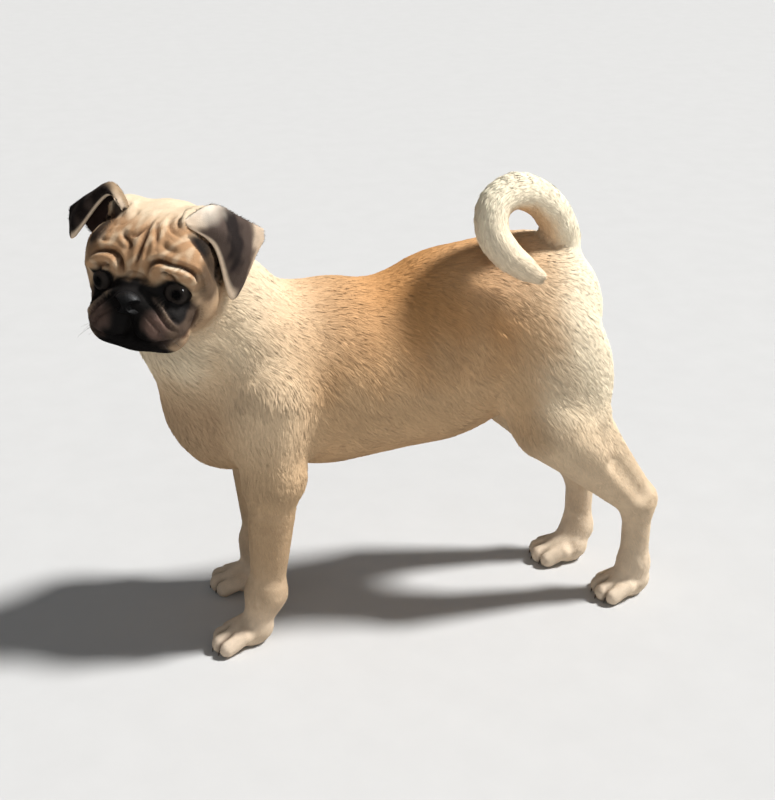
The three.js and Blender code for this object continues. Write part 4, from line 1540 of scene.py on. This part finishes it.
def make_claw(start, tip):
    deselect()
    bpy.ops.mesh.primitive_cylinder_add(vertices=10, radius=1, depth=1, end_fill_type="TRIFAN")
    claw = bpy.context.object
    bpy.ops.object.mode_set(mode="EDIT")
    bpy.ops.mesh.subdivide(number_cuts=3)
    bpy.ops.object.mode_set(mode="OBJECT")
    local = read_rows(claw.data.vertices, "co")
    t = local[:, 2] + 0.5
    ahead = tip - start
    side = np.cross(ahead, (0, 0, 1))
    side /= np.linalg.norm(side)
    above = np.cross(side, ahead)
    above /= np.linalg.norm(above)
    radius = 1.2 * (1 - 0.85 * t**1.5)
    arch = 1.2 * 4 * t * (1 - t)
    places = start + ahead * t[:, None]
    places = places + above * (local[:, 1] * radius * 1.2 + arch)[:, None]
    places = places + side * (local[:, 0] * radius * 0.8)[:, None]
    move_corners(claw, places)
    return claw


WHISKERS = [(36, 14, -12), (37, 17, -16), (33, 20, -18), (37, 11, -17), (34, 17, -21), (30, 22, -22)]
WHISKER_SPANS = 6
WHISKER_RADIUS = 0.09


# A three-sided tube along a line that thins towards its end
def thin_tube(line, way, first):
    around = np.cross(way, (0, 0, 1))
    around /= np.linalg.norm(around)
    above = np.cross(around, way)
    places, faces = [], []
    for k, middle in enumerate(line):
        radius = WHISKER_RADIUS * (1 - 0.8 * k / WHISKER_SPANS)
        for turn in (0, 2.1, 4.2):
            places.append(middle + radius * (math.cos(turn) * around + math.sin(turn) * above))
    for k in range(WHISKER_SPANS):
        for i in range(3):
            a, b = first + 3 * k + i, first + 3 * k + (i + 1) % 3
            faces += [(a, b, b + 3), (a, b + 3, a + 3)]
    last = first + 3 * WHISKER_SPANS
    return places, [*faces, (first, first + 2, first + 1), (last, last + 1, last + 2)]


def make_whiskers(material):
    rng = np.random.default_rng(31)
    shares = np.linspace(0, 1, WHISKER_SPANS + 1)[:, None]
    places, faces = [], []
    for side in (1, -1):
        for root in on_skin([(ahead, side * left, up) for ahead, left, up in WHISKERS]):
            way = unit((root - HEAD_MIDDLE)[None])[0] + np.array([-0.7, side * 0.6, -0.3])
            way = way / np.linalg.norm(way) + rng.normal(0, 0.12, 3)
            length = rng.uniform(7, 11)
            droop = np.array([-0.35, 0, -0.35]) * length * 0.5 * shares**2
            line = root - way * 0.8 + way * length * shares + droop
            more_places, more_faces = thin_tube(line, way, len(places))
            places += more_places
            faces += more_faces
    whiskers = mesh_piece("whiskers", on_head(np.array(places)), np.array(faces))
    finish_piece(whiskers, material)


# Stage: floor, lights and camera; a sun's place, its width in degrees and its strength
SUNS = {
    "key": ((1.16, -0.16, 1.7), 9, 5.4),
    "front": ((-0.3, -2.2, 1.5), 50, 0.26),
    "side": ((-1.9, 0.6, 1.2), 50, 0.1),
}
CATCH_AT = (1.12, -1.42, 0.74)


def make_stage():
    deselect()
    bpy.ops.mesh.primitive_plane_add(size=60, location=(0, 0, 0))
    floor = bpy.context.object
    floor.name = "studio_floor"
    floor.data.materials.append(floor_finish())
    floor.visible_glossy = False
    for name, (place, angle, strength) in SUNS.items():
        data = bpy.data.lights.new(name, "SUN")
        data.angle, data.energy = math.radians(angle), strength
        place_light(name, data, place)
    catch = bpy.data.lights.new("catch", "AREA")
    catch.size, catch.energy = 0.34, 12
    place_light("catch", catch, CATCH_AT)
    make_world()


def place_light(name, data, place):
    light = bpy.data.objects.new(name, data)
    light.location = place
    light.rotation_euler = (Vector((0, 0, 0.15)) - Vector(place)).to_track_quat("-Z", "Y").to_euler()
    light.visible_glossy = name in ("key", "catch")
    light.visible_diffuse = name != "catch"
    bpy.context.scene.collection.objects.link(light)


# A pale backdrop for the camera, dimmer as light on the dog and dimmer still in its eyes
def make_world():
    world = bpy.data.worlds.new("Studio")
    world.use_nodes = True
    tree = world.node_tree
    light = tree.nodes["Background"]
    light.inputs["Color"].default_value = (0.86, 0.9, 0.95, 1)
    backdrop = tree.nodes.new("ShaderNodeBackground")
    backdrop.inputs["Color"].default_value = (0.8, 0.8, 0.79, 1)
    seen = tree.nodes.new("ShaderNodeLightPath")
    mixed = tree.nodes.new("ShaderNodeMixShader")
    unlit = tree.nodes.new("ShaderNodeMath")
    unlit.operation = "MULTIPLY_ADD"
    unlit.inputs[1].default_value, unlit.inputs[2].default_value = -0.13, 0.16
    tree.links.new(seen.outputs["Is Glossy Ray"], unlit.inputs[0])
    tree.links.new(unlit.outputs[0], light.inputs["Strength"])
    tree.links.new(seen.outputs["Is Camera Ray"], mixed.inputs["Fac"])
    tree.links.new(light.outputs["Background"], mixed.inputs[1])
    tree.links.new(backdrop.outputs["Background"], mixed.inputs[2])
    tree.links.new(mixed.outputs["Shader"], tree.nodes["World Output"].inputs["Surface"])
    bpy.context.scene.world = world
    bpy.context.scene.view_settings.view_transform = "Standard"


def make_camera():
    azimuth, elevation = math.radians(CAMERA["azimuth"]), math.radians(CAMERA["elevation"])
    back = Vector(
        (
            math.sin(azimuth) * math.cos(elevation),
            -math.cos(azimuth) * math.cos(elevation),
            math.sin(elevation),
        )
    )
    data = bpy.data.cameras.new("camera")
    data.lens, data.sensor_width = CAMERA["lens"], 36
    data.clip_start = 0.05
    camera = bpy.data.objects.new("camera", data)
    camera.location = Vector(to_row(LOOK_AT)) + back * CAMERA["distance"] / 1000
    camera.rotation_euler = (-back).to_track_quat("-Z", "Y").to_euler()
    bpy.context.scene.collection.objects.link(camera)
    bpy.context.scene.camera = camera


# The dog, from the skin outwards
def make_dog():
    rng = np.random.default_rng(7)
    coat, hair = coat_finish(), tuft_finish()
    skin, p, shares, groove = make_skin()
    normals = skin_normals(skin)
    colours = skin_colours(p, normals, shares, groove)
    paint_corners(skin, "Coat", colours)
    sizes = coat_sizes(p, shares)
    h = in_head(p)
    for side in (1, -1):
        _, lid = lidded(h, side)
        sizes[:, 3] *= 1 - smoothstep(lid, 0.5, 0.95)
    bare = (nose_shape(h) < 1.2) & (shares["head"] > 0.5)
    sizes[bare, 3] = 0
    sizes[p[:, 2] < 1.2, 3] = 0
    ways = lie_of(p, normals, shares)
    long_share = smoothstep(sizes[:, 0], 4.0, 6.4)
    for name, share, long_ones in (("coat", long_share, True), ("short_coat", 1 - long_share, False)):
        chosen = sizes.copy()
        chosen[:, 3] *= share
        under = skin, p, normals, ways, chosen, colours
        coat_pieces(name, under, body_sheet, rng, hair, long_ones)
    finish_piece(skin, coat, flesh_nodes())
    for name, rows in EARS.items():
        make_ear_with_coat(name, rows, rng, coat, hair)
    make_eye("left", 1, eye_finish())
    make_eye("right", -1, eye_finish())
    make_nose(nose_finish())
    make_claws(horn_finish())
    make_whiskers(whisker_finish())


def make_ear_with_coat(name, rows, rng, coat, hair):
    ear = make_ear(name, rows)
    p, normals = corners_of(ear), skin_normals(ear)
    plan = read_rows(ear.data.attributes["plan"].data, "vector")
    colours = ear_colours(p, normals, plan, name)
    paint_corners(ear, "Coat", colours)
    sizes = np.tile(np.array(COAT["ear"], float), (len(p), 1))
    sizes[:, 0] += 1.0 * (1 - smoothstep(plan[:, 1], 0.2, 0.5))
    sizes[:, 0] *= 1 - 0.65 * smoothstep(plan[:, 1], 0.88, 0.98)
    root = on_head(np.mean(rows[0], axis=0))
    under = ear, p, normals, p - root, sizes, colours
    coat_pieces(f"ear_{name}_coat", under, ear_sheet(name), rng, hair, False)
    finish_piece(ear, coat, [f"ear_{name}"])


make_stage()
make_camera()
make_dog()
